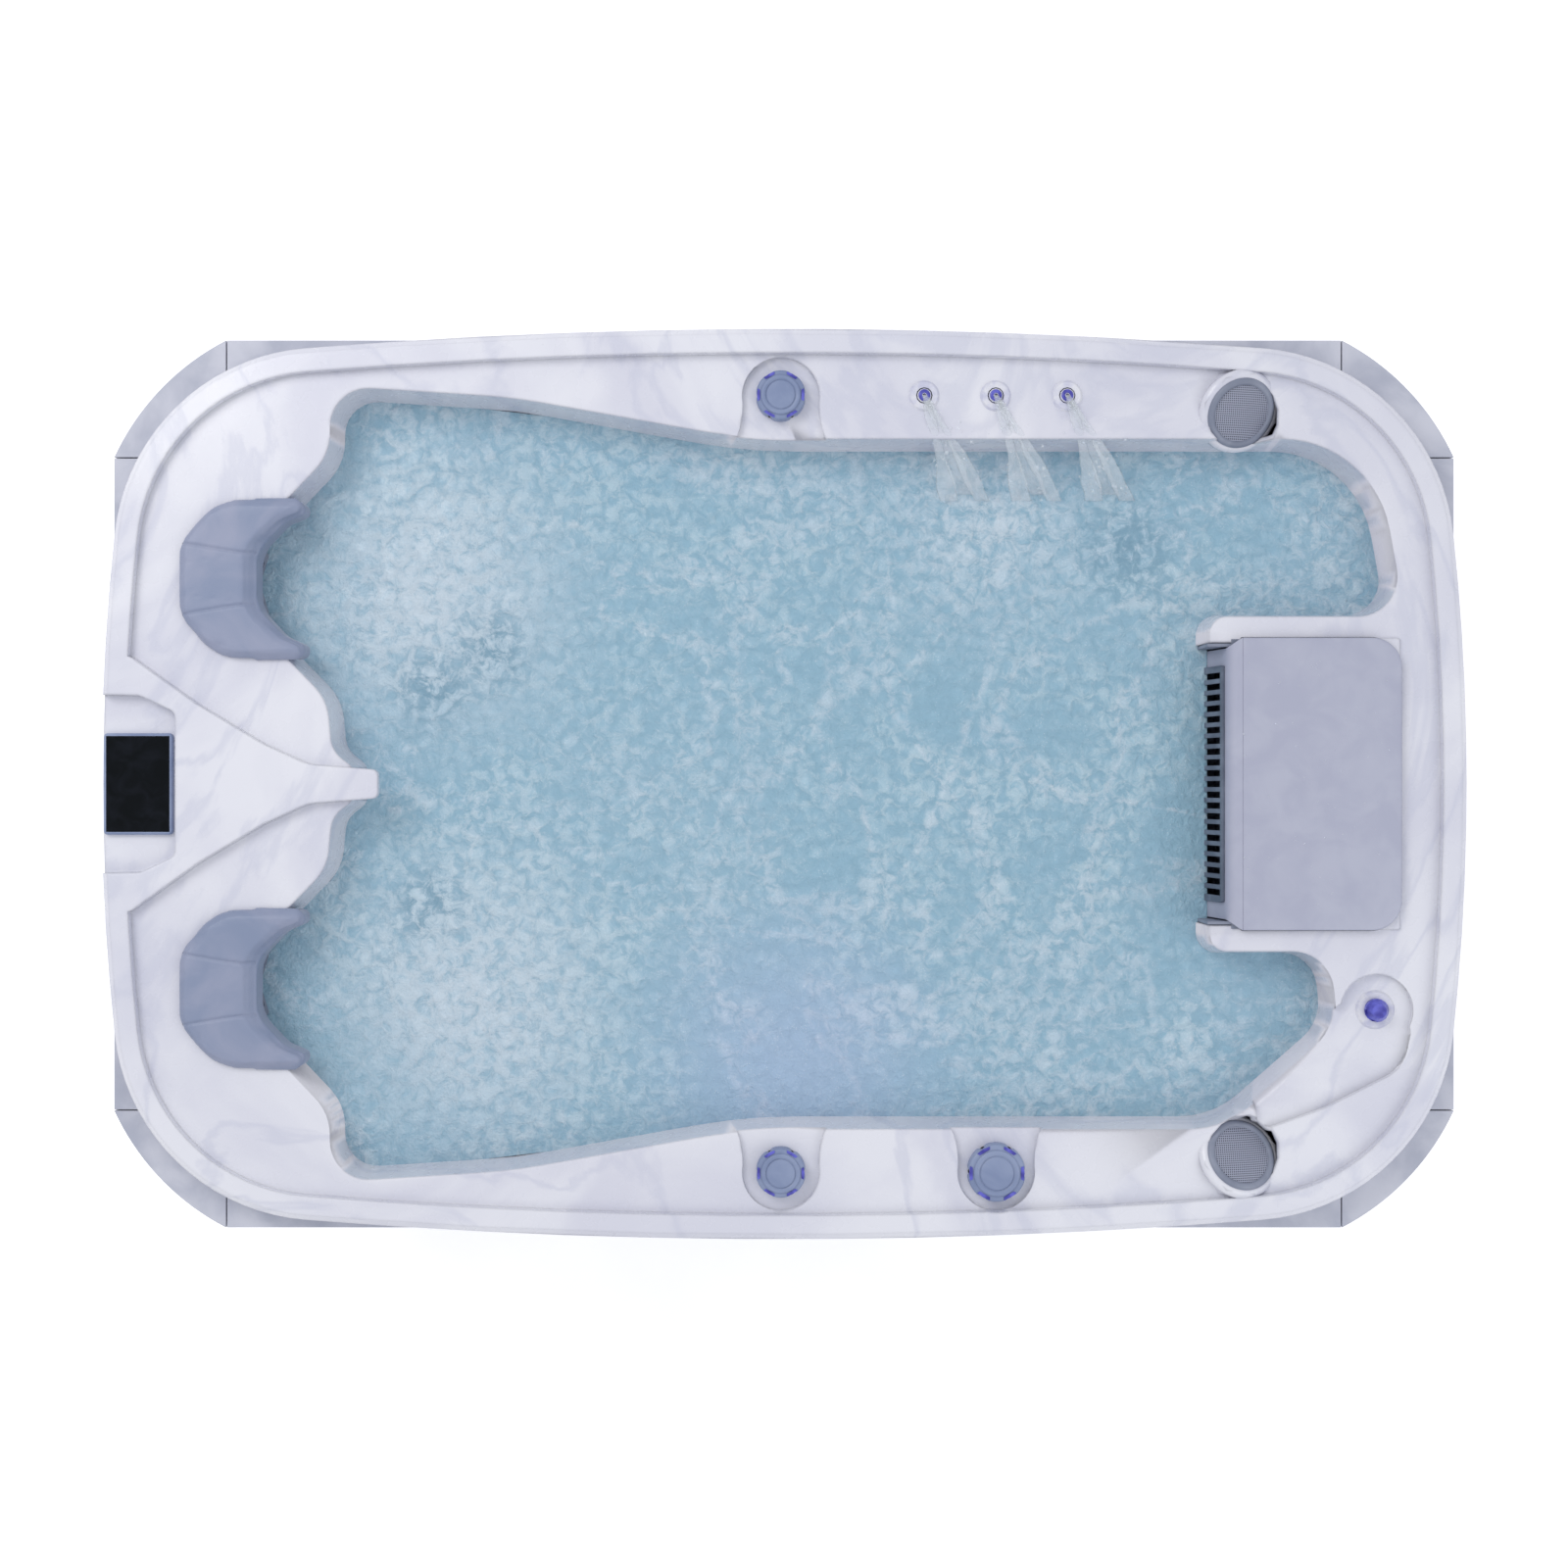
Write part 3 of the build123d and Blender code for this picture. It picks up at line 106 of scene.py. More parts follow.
class Paint:
    """One procedural material, built node by node."""

    def __init__(self, name, base, roughness=0.4, **sockets):
        self.material = bpy.data.materials.new(name)
        self.material.use_nodes = True
        self.tree = self.material.node_tree
        self.tree.nodes.clear()
        self.shader = self.add("ShaderNodeBsdfPrincipled")
        self.shader.inputs["Base Color"].default_value = base
        self.shader.inputs["Roughness"].default_value = roughness
        for socket, value in sockets.items():
            self.shader.inputs[socket.replace("_", " ")].default_value = value
        output = self.add("ShaderNodeOutputMaterial")
        self.join(self.shader.outputs[0], output.inputs["Surface"])
        self.place = self.add("ShaderNodeTexCoord").outputs["Object"]

    def add(self, kind, **settings):
        node = self.tree.nodes.new(kind)
        for key, value in settings.items():
            setattr(node, key, value)
        return node

    def join(self, source, target):
        self.tree.links.new(source, target)

    def feed(self, target, value):
        """Sets a socket to a number, or joins another socket to it."""
        if hasattr(value, "is_linked"):
            self.join(value, target)
        else:
            target.default_value = value

    def stretched(self, scale, shift=(0, 0, 0)):
        mapping = self.add("ShaderNodeMapping")
        self.join(self.place, mapping.inputs["Vector"])
        mapping.inputs["Scale"].default_value = scale
        mapping.inputs["Location"].default_value = shift
        return mapping.outputs[0]

    def noise(self, scale, detail=4.0, distortion=0.0, place=None, roughness=0.5):
        node = self.add("ShaderNodeTexNoise")
        self.join(place or self.place, node.inputs["Vector"])
        node.inputs["Scale"].default_value = scale
        node.inputs["Detail"].default_value = detail
        node.inputs["Distortion"].default_value = distortion
        node.inputs["Roughness"].default_value = roughness
        return node.outputs[0]

    def cells(self, scale):
        node = self.add("ShaderNodeTexVoronoi")
        self.join(self.place, node.inputs["Vector"])
        node.inputs["Scale"].default_value = scale
        return node.outputs["Distance"]

    def dots(self, pitch):
        """Distance from the nearest of evenly spaced dots in the plan, in pitches."""
        node = self.add("ShaderNodeTexVoronoi", voronoi_dimensions="2D")
        self.join(self.place, node.inputs["Vector"])
        node.inputs["Scale"].default_value = 1 / pitch
        node.inputs["Randomness"].default_value = 0.0
        return node.outputs["Distance"]

    def level(self, value, low, high, to_low=0.0, to_high=1.0):
        node = self.add("ShaderNodeMapRange", interpolation_type="SMOOTHSTEP")
        self.feed(node.inputs["Value"], value)
        node.inputs["From Min"].default_value = low
        node.inputs["From Max"].default_value = high
        node.inputs["To Min"].default_value = to_low
        node.inputs["To Max"].default_value = to_high
        return node.outputs[0]

    def math(self, operation, first, second=0.0):
        node = self.add("ShaderNodeMath", operation=operation)
        self.feed(node.inputs[0], first)
        self.feed(node.inputs[1], second)
        return node.outputs[0]

    def blend(self, factor, first, second):
        node = self.add("ShaderNodeMix", data_type="RGBA")
        self.feed(node.inputs[0], factor)
        self.feed(node.inputs[6], first)
        self.feed(node.inputs[7], second)
        return node.outputs[2]

    def near(self, x, y, radius):
        """1 at a point of the plan, falling to 0 at the radius."""
        node = self.add("ShaderNodeVectorMath", operation="DISTANCE")
        self.join(self.stretched((1, 1, 0)), node.inputs[0])
        node.inputs[1].default_value = (x, y, 0)
        return self.level(node.outputs["Value"], 0.0, radius, 1.0, 0.0)

    def colour(self, source):
        self.join(source, self.shader.inputs["Base Color"])

    def rough(self, source):
        self.join(source, self.shader.inputs["Roughness"])

    def bump(self, source, depth, strength=1.0, rounding=0.0):
        """Surface relief in metres, over edges that look rounded to a radius."""
        node = self.add("ShaderNodeBump")
        node.inputs["Strength"].default_value = strength
        node.inputs["Distance"].default_value = depth
        self.join(source, node.inputs["Height"])
        if rounding:
            soft = self.add("ShaderNodeBevel", samples=6)
            soft.inputs["Radius"].default_value = rounding
            self.join(soft.outputs[0], node.inputs["Normal"])
        self.join(node.outputs[0], self.shader.inputs["Normal"])


def acrylic():
    """Pearl white acrylic with faint blue-grey marbling under a gloss coat."""
    paint = Paint("acrylic", linear(212, 213, 224), 0.3, Coat_Weight=0.35, Coat_Roughness=0.08)
    cloud = paint.noise(2.2, 5, 1.6)
    veins = paint.noise(1.7, 7, 2.4, paint.stretched((1, 0.6, 1), (3, 1, 0)))
    line = paint.math("ABSOLUTE", paint.math("SUBTRACT", veins, 0.5))
    base = paint.blend(paint.level(cloud, 0.35, 0.65), linear(205, 206, 219), linear(218, 219, 228))
    marbled = paint.blend(paint.level(line, 0.0, 0.035, 0.4, 0.0), base, linear(186, 189, 208))
    paint.colour(marbled)
    paint.rough(paint.level(paint.noise(30, 3), 0.3, 0.7, 0.22, 0.34))
    paint.bump(paint.noise(14, 2), 0.0006, 0.5, rounding=0.007)
    return paint.material


def panelling():
    """Grey composite cladding with a faint brushed grain along the boards."""
    paint = Paint("panelling", linear(182, 186, 200), 0.55)
    grain = paint.noise(6, 8, 0.4, paint.stretched((2, 2, 60)))
    paint.colour(paint.blend(paint.level(grain, 0.3, 0.7), linear(168, 172, 188), linear(196, 198, 210)))
    paint.rough(paint.level(grain, 0.3, 0.7, 0.5, 0.65))
    paint.bump(grain, 0.0006, 0.6, rounding=0.002)
    return paint.material


def moulded(name, light, dark, roughness=0.45, grain=420.0, metallic=0.0):
    """Moulded plastic or cast metal: fine grain, a little wear in the colour, softened edges."""
    paint = Paint(name, light, roughness, Metallic=metallic)
    fine = paint.noise(grain, 2)
    wear = paint.noise(18, 5, 0.5)
    paint.colour(paint.blend(paint.level(wear, 0.35, 0.7), dark, light))
    paint.rough(paint.level(wear, 0.3, 0.7, roughness + 0.08, roughness - 0.06))
    paint.bump(fine, 0.0002, 0.5, rounding=0.0012)
    return paint.material


def brushed(name, tone, roughness=0.3):
    """Metal with fine marks round the part."""
    paint = Paint(name, tone, roughness, Metallic=1.0)
    marks = paint.noise(90, 3, 0.2, paint.stretched((1, 1, 12)))
    paint.rough(paint.level(marks, 0.3, 0.7, roughness - 0.08, roughness + 0.12))
    paint.bump(marks, 0.0001, 0.4)
    return paint.material


def pillow_skin():
    """Closed-cell foam skin: satin, with a fine leather grain."""
    paint = Paint("pillow_skin", linear(150, 156, 180), 0.5, Sheen_Weight=0.25, Sheen_Roughness=0.4)
    tone = paint.noise(9, 4, 0.6)
    paint.colour(paint.blend(paint.level(tone, 0.3, 0.7), linear(124, 136, 164), linear(146, 152, 176)))
    cells = paint.cells(520)
    paint.rough(paint.level(tone, 0.3, 0.7, 0.42, 0.55))
    paint.bump(cells, 0.0003, 0.6)
    return paint.material


def lit_plastic():
    """Violet-blue translucent plastic, lit from inside."""
    paint = Paint("lit_plastic", linear(72, 72, 168), 0.3, Emission_Strength=0.12)
    glow = paint.noise(70, 2)
    tone = paint.blend(paint.level(glow, 0.3, 0.7), linear(52, 50, 140), linear(92, 94, 190))
    paint.colour(tone)
    paint.join(tone, paint.shader.inputs["Emission Color"])
    paint.bump(glow, 0.0002, 0.3)
    return paint.material


def clear_plastic():
    """Clear polycarbonate with a violet tint."""
    paint = Paint("clear_plastic", linear(222, 224, 238), 0.12, Transmission_Weight=0.15, IOR=1.45)
    cloud = paint.noise(60, 2)
    paint.colour(paint.blend(paint.level(cloud, 0.3, 0.7), linear(206, 208, 230), linear(232, 233, 242)))
    paint.bump(cloud, 0.0002, 0.4)
    return paint.material


def dark_glass():
    """Black touch glass over an unlit display."""
    paint = Paint("dark_glass", linear(4, 8, 14), 0.05, Specular_IOR_Level=0.12)
    smear = paint.noise(35, 5, 0.8)
    paint.colour(paint.blend(paint.level(smear, 0.35, 0.75), linear(2, 6, 11), linear(14, 18, 26)))
    paint.rough(paint.level(smear, 0.3, 0.7, 0.04, 0.14))
    paint.bump(smear, 0.0001, 0.2, rounding=0.0015)
    return paint.material


def perforated():
    """Punched metal of a speaker grille: fine round perforations in close rows, each painted dark as the
    shade inside it.
    """
    paint = Paint("perforated", linear(140, 146, 166), 0.5)
    holes_and_their_shade = paint.level(paint.dots(0.0032), 0.24, 0.36)
    # Painted shade: the perforations are coloured dark for the shade inside them; the same mask also raises
    # the bump.
    paint.colour(paint.blend(holes_and_their_shade, linear(52, 56, 72), linear(150, 155, 174)))
    paint.bump(holes_and_their_shade, 0.0006, 0.8)
    return paint.material


def spa_water():
    """Churned water: pale turquoise, foam streaks, clouds of bubbles over the seat jets, a violet glow."""
    paint = Paint("spa_water", linear(160, 198, 216), 0.12, Coat_Weight=0.3, Coat_Roughness=0.03)
    swirl = paint.noise(3.6, 10, 0.9, roughness=0.6)
    veil = paint.noise(1.9, 8, 1.1, paint.stretched((1, 1, 1), (6, 3, 0)), 0.6)
    fine = paint.noise(48, 10, 0.5, roughness=0.68)
    bubbles = paint.cells(260)
    deep = paint.blend(paint.level(swirl, 0.36, 0.64), linear(142, 181, 203), linear(174, 201, 216))
    deep = paint.blend(paint.level(fine, 0.4, 0.62), linear(138, 177, 199), deep)
    froth = paint.math("MULTIPLY", paint.level(veil, 0.48, 0.7), paint.level(fine, 0.42, 0.64, 0.1, 0.5))
    for offset, stretch in ((4, (1, 0.8, 1)), (9, (0.8, 1.2, 1))):
        streak = paint.noise(1.6, 8, 0.9, paint.stretched(stretch, (offset, 1, 0)), 0.55)
        line = paint.math("ABSOLUTE", paint.math("SUBTRACT", streak, 0.5))
        broken = paint.level(fine, 0.36, 0.62, 0.0, 0.6)
        foam_line = paint.math("MULTIPLY", paint.level(line, 0.026, 0.0), broken)
        froth = paint.math("MAXIMUM", froth, foam_line)
    for x, y in SEAT_JETS:
        cloud = paint.math("MULTIPLY", paint.near(x, y, 0.36), paint.level(fine, 0.26, 0.58, 0.1, 1.0))
        froth = paint.math("MAXIMUM", froth, cloud)
    wash = paint.math("MULTIPLY", paint.near(0.32, 0.42, 0.3), paint.level(fine, 0.35, 0.65))
    froth = paint.math("MAXIMUM", froth, wash)
    tone = paint.blend(paint.math("MULTIPLY", froth, 0.85), deep, linear(200, 214, 227))
    dark = 0.0
    for x, y, radius in ((-0.55, 0.15, 0.1), (-0.46, 0.21, 0.1), (-0.56, -0.19, 0.09), (0.54, 0.37, 0.12)):
        spot = paint.math("MULTIPLY", paint.near(x, y, radius), paint.level(fine, 0.62, 0.42))
        dark = paint.math("MAXIMUM", spot, dark)
    tone = paint.blend(paint.math("MULTIPLY", dark, 0.8), tone, linear(112, 152, 176))
    violet = paint.math("MULTIPLY", paint.near(0.02, -0.44, 0.34), 0.45)
    tone = paint.blend(violet, tone, linear(178, 190, 226))
    speck = paint.math("MULTIPLY", paint.level(bubbles, 0.32, 0.12), paint.level(fine, 0.45, 0.6))
    tone = paint.blend(paint.math("MULTIPLY", speck, 0.3), tone, linear(228, 237, 244))
    paint.colour(tone)
    paint.rough(paint.level(froth, 0.0, 1.0, 0.08, 0.4))
    ripple = paint.math("ADD", fine, paint.math("MULTIPLY", paint.noise(110, 4, 0.6), 0.4))
    paint.bump(ripple, 0.012, 0.7)
    return paint.material


def clear_water():
    """Falling water and drops."""
    paint = Paint("clear_water", linear(240, 245, 250), 0.04, Transmission_Weight=0.4, IOR=1.2, Alpha=0.3)
    paint.bump(paint.noise(160, 4, 1.0), 0.002, 0.8)
    return paint.material


def pleats():
    """Filter paper with the shade of use in its folds."""
    paint = Paint("pleats", linear(222, 224, 226), 0.85)
    stain = paint.noise(22, 5, 0.6)
    paint.colour(paint.blend(paint.level(stain, 0.3, 0.75), linear(196, 199, 200), linear(230, 231, 232)))
    paint.bump(paint.noise(700, 2), 0.0003, 0.6)
    return paint.material


ACRYLIC = acrylic()
PANELLING = panelling()
BASE = moulded("base_plastic", linear(46, 48, 54), linear(34, 36, 41), 0.6)
GALVANISED = brushed("galvanised", linear(150, 154, 160), 0.45)
LID = moulded("lid_plastic", linear(172, 175, 193), linear(164, 167, 187), 0.42)
GRILLE = moulded("grille_plastic", linear(112, 122, 140), linear(84, 94, 112), 0.5)
SILVER = moulded("silver_plastic", linear(134, 147, 178), linear(118, 132, 166), 0.42)
GREY = moulded("grey_plastic", linear(136, 142, 160), linear(118, 125, 144), 0.5)
DARK = moulded("dark_plastic", linear(36, 38, 44), linear(24, 26, 31), 0.55)
WHITE = moulded("pipe_plastic", linear(224, 226, 228), linear(208, 211, 215), 0.4)
MOTOR = moulded("motor_paint", linear(40, 60, 92), linear(30, 46, 74), 0.4)
STEEL = brushed("steel", linear(196, 198, 204), 0.25)
SKIN = pillow_skin()
LIT = lit_plastic()
CLEAR = clear_plastic()
GLASS = dark_glass()
PERFORATED = perforated()
PLEATS = pleats()
SPA_WATER = spa_water()
CLEAR_WATER = clear_water()

FINISHES = {
    "acrylic": ACRYLIC,
    "cabinet": PANELLING,
    "base_plastic": BASE,
    "frame_steel": GALVANISED,
    "foam": SKIN,
    "glass_black": GLASS,
    "satin_silver": SILVER,
    "clear_lit": CLEAR,
    "lid_grey": LID,
    "grey_plastic": GREY,
    "white_plastic": WHITE,
    "pleat_fabric": PLEATS,
    "dark_plastic": DARK,
    "steel": STEEL,
    "motor_paint": MOTOR,
}
OWN_FINISH = {"skimmer_grille": GRILLE, "spout_nozzle": LIT}


def dress_frame():
    """Gives each CAD node the finish of its slot in the record."""
    for part in frame["record"]["subparts"]:
        mesh = frame["nodes"][part["node"]].data
        mesh.materials.clear()
        mesh.materials.append(OWN_FINISH.get(part["node"], FINISHES[part["material_slot"]]))


def piece(name, shape, materials, body, smooth=True):
    """An object of a finished bmesh, riding on a body."""
    mesh = bpy.data.meshes.new(name)
    bmesh.ops.recalc_face_normals(shape, faces=shape.faces)
    for face in shape.faces:
        face.smooth = smooth
    shape.to_mesh(mesh)
    shape.free()
    for material in materials:
        mesh.materials.append(material)
    thing = bpy.data.objects.new(name, mesh)
    scene.collection.objects.link(thing)
    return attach(thing, body)


def sweep_rings(shape, rings, material=0):
    """Skins a run of rings of points: a ring of one point closes the end."""
    made = [[shape.verts.new(p) for p in ring] for ring in rings]
    for low, high in zip(made, made[1:]):
        count = max(len(low), len(high))
        for i in range(count):
            j = (i + 1) % count
            corners = [low[i % len(low)], low[j % len(low)], high[j % len(high)], high[i % len(high)]]
            face = shape.faces.new(list(dict.fromkeys(corners)))
            face.material_index = material


def turn(shape, profile, place, segments=72, material=0, wave=None):
    """Turns (radius, height) points about the place's axis. wave gives the radius's share at each angle."""
    rings = []
    for radius, height in profile:
        if radius == 0:
            rings.append([place @ Vector((0, 0, height))])
            continue
        ring = []
        for k in range(segments):
            angle = 2 * pi * k / segments
            r = radius * (wave(angle) if wave else 1.0)
            ring.append(place @ Vector((r * cos(angle), r * sin(angle), height)))
        rings.append(ring)
    sweep_rings(shape, rings, material)


def rounded_outline(corners, inset=0.0, step=radians(6)):
    """Points of a closed outline with round corners, (x, y, radius) each, moved inwards by the inset."""
    count = len(corners)
    lines = []
    for k in range(count):
        a, b = Vector(corners[k][:2]), Vector(corners[(k + 1) % count][:2])
        along = (b - a).normalized()
        lines.append((a + inset * Vector((-along.y, along.x)), along))
    outline = []
    for k in range(count):
        (_, before), (foot, after) = lines[k - 1], lines[k]
        turned = before.x * after.y - before.y * after.x
        base = lines[k - 1][0]
        reach = ((foot - base).x * after.y - (foot - base).y * after.x) / turned
        corner = base + reach * before
        radius = max(0.0, corners[k][2] + (-inset if turned > 0 else inset))
        angle = atan2(turned, before.dot(after))
        run = radius * abs(sin(angle / 2) / cos(angle / 2))
        start = corner - before * run
        side = Vector((-before.y, before.x)) * (1 if turned > 0 else -1)
        centre = start + side * radius
        parts = max(1, int(abs(angle) / step))
        spoke = start - centre
        for i in range(parts + 1):
            spin = Matrix.Rotation(angle * i / parts, 2)
            outline.append(centre + spin @ spoke)
    return outline


def bath_outline(height, mouth=0.0):
    """The bathing space's wall at a level. mouth is how far the skimmer's throat runs on behind it.

    Half of the left end is mirrored, and the right end follows."""
    rear = [(-0.06, 0.532, 0.9), (-0.42, 0.596, 0.9), (-0.7, 0.614, 0.06), (-0.7, 0.508, 0.08)]
    rear += [(-0.836, 0.366, 0.115), (-0.836, 0.264, 0.115), (-0.704, 0.13, 0.08), (-0.697, 0.05, 0.045)]
    rear.append((-0.663, 0.025, 0.022))
    front = [(x, -y, r) for x, y, r in rear[::-1]]
    right = [(0.678, -0.532, 0.15), (0.854, -0.378, 0.08), (0.842, -0.258, 0.065), (0.657, -0.258, 0.025)]
    if mouth:
        right += [(0.657, -MOUTH_HALF, 0), (0.657 + mouth, -MOUTH_HALF, 0)]
        right += [(0.657 + mouth, MOUTH_HALF, 0), (0.657, MOUTH_HALF, 0)]
    right += [(0.657, 0.258, 0.025), (0.958, 0.258, 0.062), (0.908, 0.532, 0.17)]
    return rounded_outline(rear + front + right, (DECK - height) * WALL_LEAN)


def inside(points, loop):
    """Which of the points, an array of x and y, lie inside a loop."""
    held = np.zeros(len(points), bool)
    for a, b in zip(loop, loop[1:] + loop[:1]):
        if a.y == b.y:
            continue
        crosses = (points[:, 1] > min(a.y, b.y)) & (points[:, 1] <= max(a.y, b.y))
        at = a.x + (points[:, 1] - a.y) * (b.x - a.x) / (b.y - a.y)
        held ^= crosses & (points[:, 0] < at)
    return held


def nearest_on(points, loop):
    """The nearest place of a loop to each point, and how far it is."""
    best, reach = np.array(points), np.full(len(points), 9.0)
    for a, b in zip(loop, loop[1:] + loop[:1]):
        along = np.array(b - a)
        share = ((points - np.array(a)) @ along) / max(along @ along, 1e-12)
        foot = np.array(a) + np.clip(share, 0, 1)[:, None] * along
        away = np.hypot(*(points - foot).T)
        nearer = away < reach
        best[nearer], reach[nearer] = foot[nearer], away[nearer]
    return best, reach


def welded(node):
    """A bmesh of a CAD node with its split corners joined and its flat faces whole."""
    shape = bmesh.new()
    shape.from_mesh(frame["nodes"][node].data)
    bmesh.ops.remove_doubles(shape, verts=shape.verts, dist=1e-5)
    bmesh.ops.dissolve_limit(
        shape, angle_limit=radians(0.6), verts=shape.verts, edges=shape.edges, delimit=set()
    )
    return shape


def finish_edges(thing, sharp=32):
    """Smooth shading with crisp edges, led by the large faces."""
    thing.data.set_sharp_from_angle(angle=radians(sharp))
    weighted = thing.modifiers.new("weighted", "WEIGHTED_NORMAL")
    weighted.keep_sharp = True
    thing.data = applied(thing)


def make_shell():
    """The moulded shell, with the rounded edges of formed acrylic along the rim and the spine."""
    shape = welded("shell")
    crisp = [
        edge for edge in shape.edges
        if edge.calc_face_angle(0) > radians(30) and min(v.co.z for v in edge.verts) > DECK + EDGE_LIFT
    ]
    bmesh.ops.bevel(
        shape, geom=crisp, offset=EDGE_ROUND, offset_type="OFFSET", segments=2, profile=0.5, affect="EDGES",
        clamp_overlap=True,
    )
    skin = piece("tub_shell", shape, [ACRYLIC], "tub")
    finish_edges(skin)
    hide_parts("shell")


def water_height(x, y, reach):
    """Rise of the churned surface at a place, dying away at the walls."""
    spot = Vector((x * 9, y * 9, 0.3))
    rise = 0.0032 * noise.fractal(spot, 0.8, 2.1, 4)
    for jet_x, jet_y in SEAT_JETS:
        boil = exp(-((x - jet_x) ** 2 + (y - jet_y) ** 2) / 0.02)
        rise += boil * (0.006 + 0.005 * noise.noise(Vector((x * 30, y * 30, 1))))
    for start in NOZZLE_TIPS:
        away = hypot(x - start.x - 0.07, y - start.y + 0.148)
        rise += 0.004 * exp(-((away / 0.06) ** 2)) * noise.noise(Vector((x * 50, y * 50, 2)))
    return rise * min(1.0, reach / 0.03)


def make_water():
    """The water's surface: a fine grid drawn to the shell's wall, with its churned relief."""
    wall = bath_outline(WATER, MOUTH_DEPTH)
    step = WATER_GRID
    low = Vector((min(p.x for p in wall) - step, min(p.y for p in wall) - step))
    columns = int((max(p.x for p in wall) - low.x) / step) + 2
    rows = int((max(p.y for p in wall) - low.y) / step) + 2
    grid = np.array([(low.x + step * i, low.y + step * j) for i in range(columns) for j in range(rows)])
    held = inside(grid, wall)
    edge, reach = nearest_on(grid, wall)
    snapped = reach < 0.75 * step
    grid[snapped] = edge[snapped]
    shape = bmesh.new()
    made = {}
    for k in np.flatnonzero(held | snapped):
        x, y = grid[k]
        rise = 0.0 if snapped[k] else water_height(x, y, reach[k])
        made[int(k)] = shape.verts.new((x, y, WATER + rise))
    for i in range(columns - 1):
        for j in range(rows - 1):
            corners = [i * rows + j, (i + 1) * rows + j, (i + 1) * rows + j + 1, i * rows + j + 1]
            if all(c in made for c in corners) and not all(snapped[c] for c in corners):
                shape.faces.new([made[c] for c in corners])
    loose = [v for v in shape.verts if not v.link_faces]
    bmesh.ops.delete(shape, geom=loose, context="VERTS")
    piece("water", shape, [SPA_WATER], "tub")


def make_pillow(side):
    """A foam neck pillow swollen from its CAD solid, with its two moulded channels."""
    node = f"pillow_{side}"
    name = f"neck_pillow_{side}"
    mesh = frame["nodes"][node].data.copy()
    shape = bmesh.new()
    shape.from_mesh(mesh)
    bmesh.ops.remove_doubles(shape, verts=shape.verts, dist=1e-5)
    shape.to_mesh(mesh)
    shape.free()
    cushion = bpy.data.objects.new(name, mesh)
    scene.collection.objects.link(cushion)
    voxels = cushion.modifiers.new("voxels", "REMESH")
    voxels.mode = "VOXEL"
    voxels.voxel_size = FOAM_VOXEL
    cushion.data = applied(cushion)
    start = np.array([v.co for v in cushion.data.vertices])
    swell(cushion)
    soften(cushion, start)
    cushion.modifiers.new("smooth", "SUBSURF").levels = 1
    cushion.data = applied(cushion)
    low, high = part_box(node)
    middle = 0.5 * (low.y + high.y)
    round_off(cushion.data, high.x - 0.075)
    for vertex in cushion.data.vertices:
        vertex.co.z -= seam_depth(vertex.co, middle, high)
    for face in cushion.data.polygons:
        face.use_smooth = True
    cushion.data.materials.clear()
    cushion.data.materials.append(SKIN)
    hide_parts(node)
    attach(cushion, "tub")


def round_off(mesh, limit, passes=50):
    """Draws the pillow's back edge into one round curve, level by level."""
    shape = bmesh.new()
    shape.from_mesh(mesh)
    outer = [v for v in shape.verts if v.co.x < limit]
    for _ in range(passes):
        bmesh.ops.smooth_vert(
            shape, verts=outer, factor=0.5, use_axis_x=True, use_axis_y=True, use_axis_z=False
        )
    shape.to_mesh(mesh)
    shape.free()


def applied(thing):
    """The object's mesh with its modifiers worked in, and the modifiers gone."""
    bpy.context.view_layer.update()
    graph = bpy.context.evaluated_depsgraph_get()
    mesh = bpy.data.meshes.new_from_object(thing.evaluated_get(graph))
    thing.modifiers.clear()
    return mesh


def swell(cushion):
    """Blows the foam up a little with a cloth skin under pressure."""
    cloth = cushion.modifiers.new("cloth", "CLOTH")
    cloth.settings.use_pressure = True
    cloth.settings.uniform_pressure_force = FOAM_PRESSURE
    cloth.settings.effector_weights.gravity = 0
    for step in range(1, FOAM_FRAMES + 1):
        scene.frame_set(step)
    cushion.data = applied(cushion)
    scene.frame_set(1)


def soften(cushion, start, cap=0.004):
    """Keeps the swelling under a cap, and none of it where the pillow rests on the shell."""
    base = DECK + 0.004
    for vertex, was in zip(cushion.data.vertices, start):
        was = Vector(was)
        shift = vertex.co - was
        if shift.length > cap:
            shift *= cap / shift.length
        free = min(1.0, max(0.0, (was.z - base) / 0.006))
        vertex.co = was + shift * free


def seam_depth(place, middle, high):
    """Depth of the two curved channels across the pillow's top."""
    if place.z < DECK + 0.006:
        return 0.0
    half_gap = 0.04 + 0.25 * max(0.0, high.x - 0.09 - place.x) ** 1.2
    across = abs(place.y - middle) - half_gap
    return SEAM_DEPTH * exp(-((across / 0.0022) ** 2))


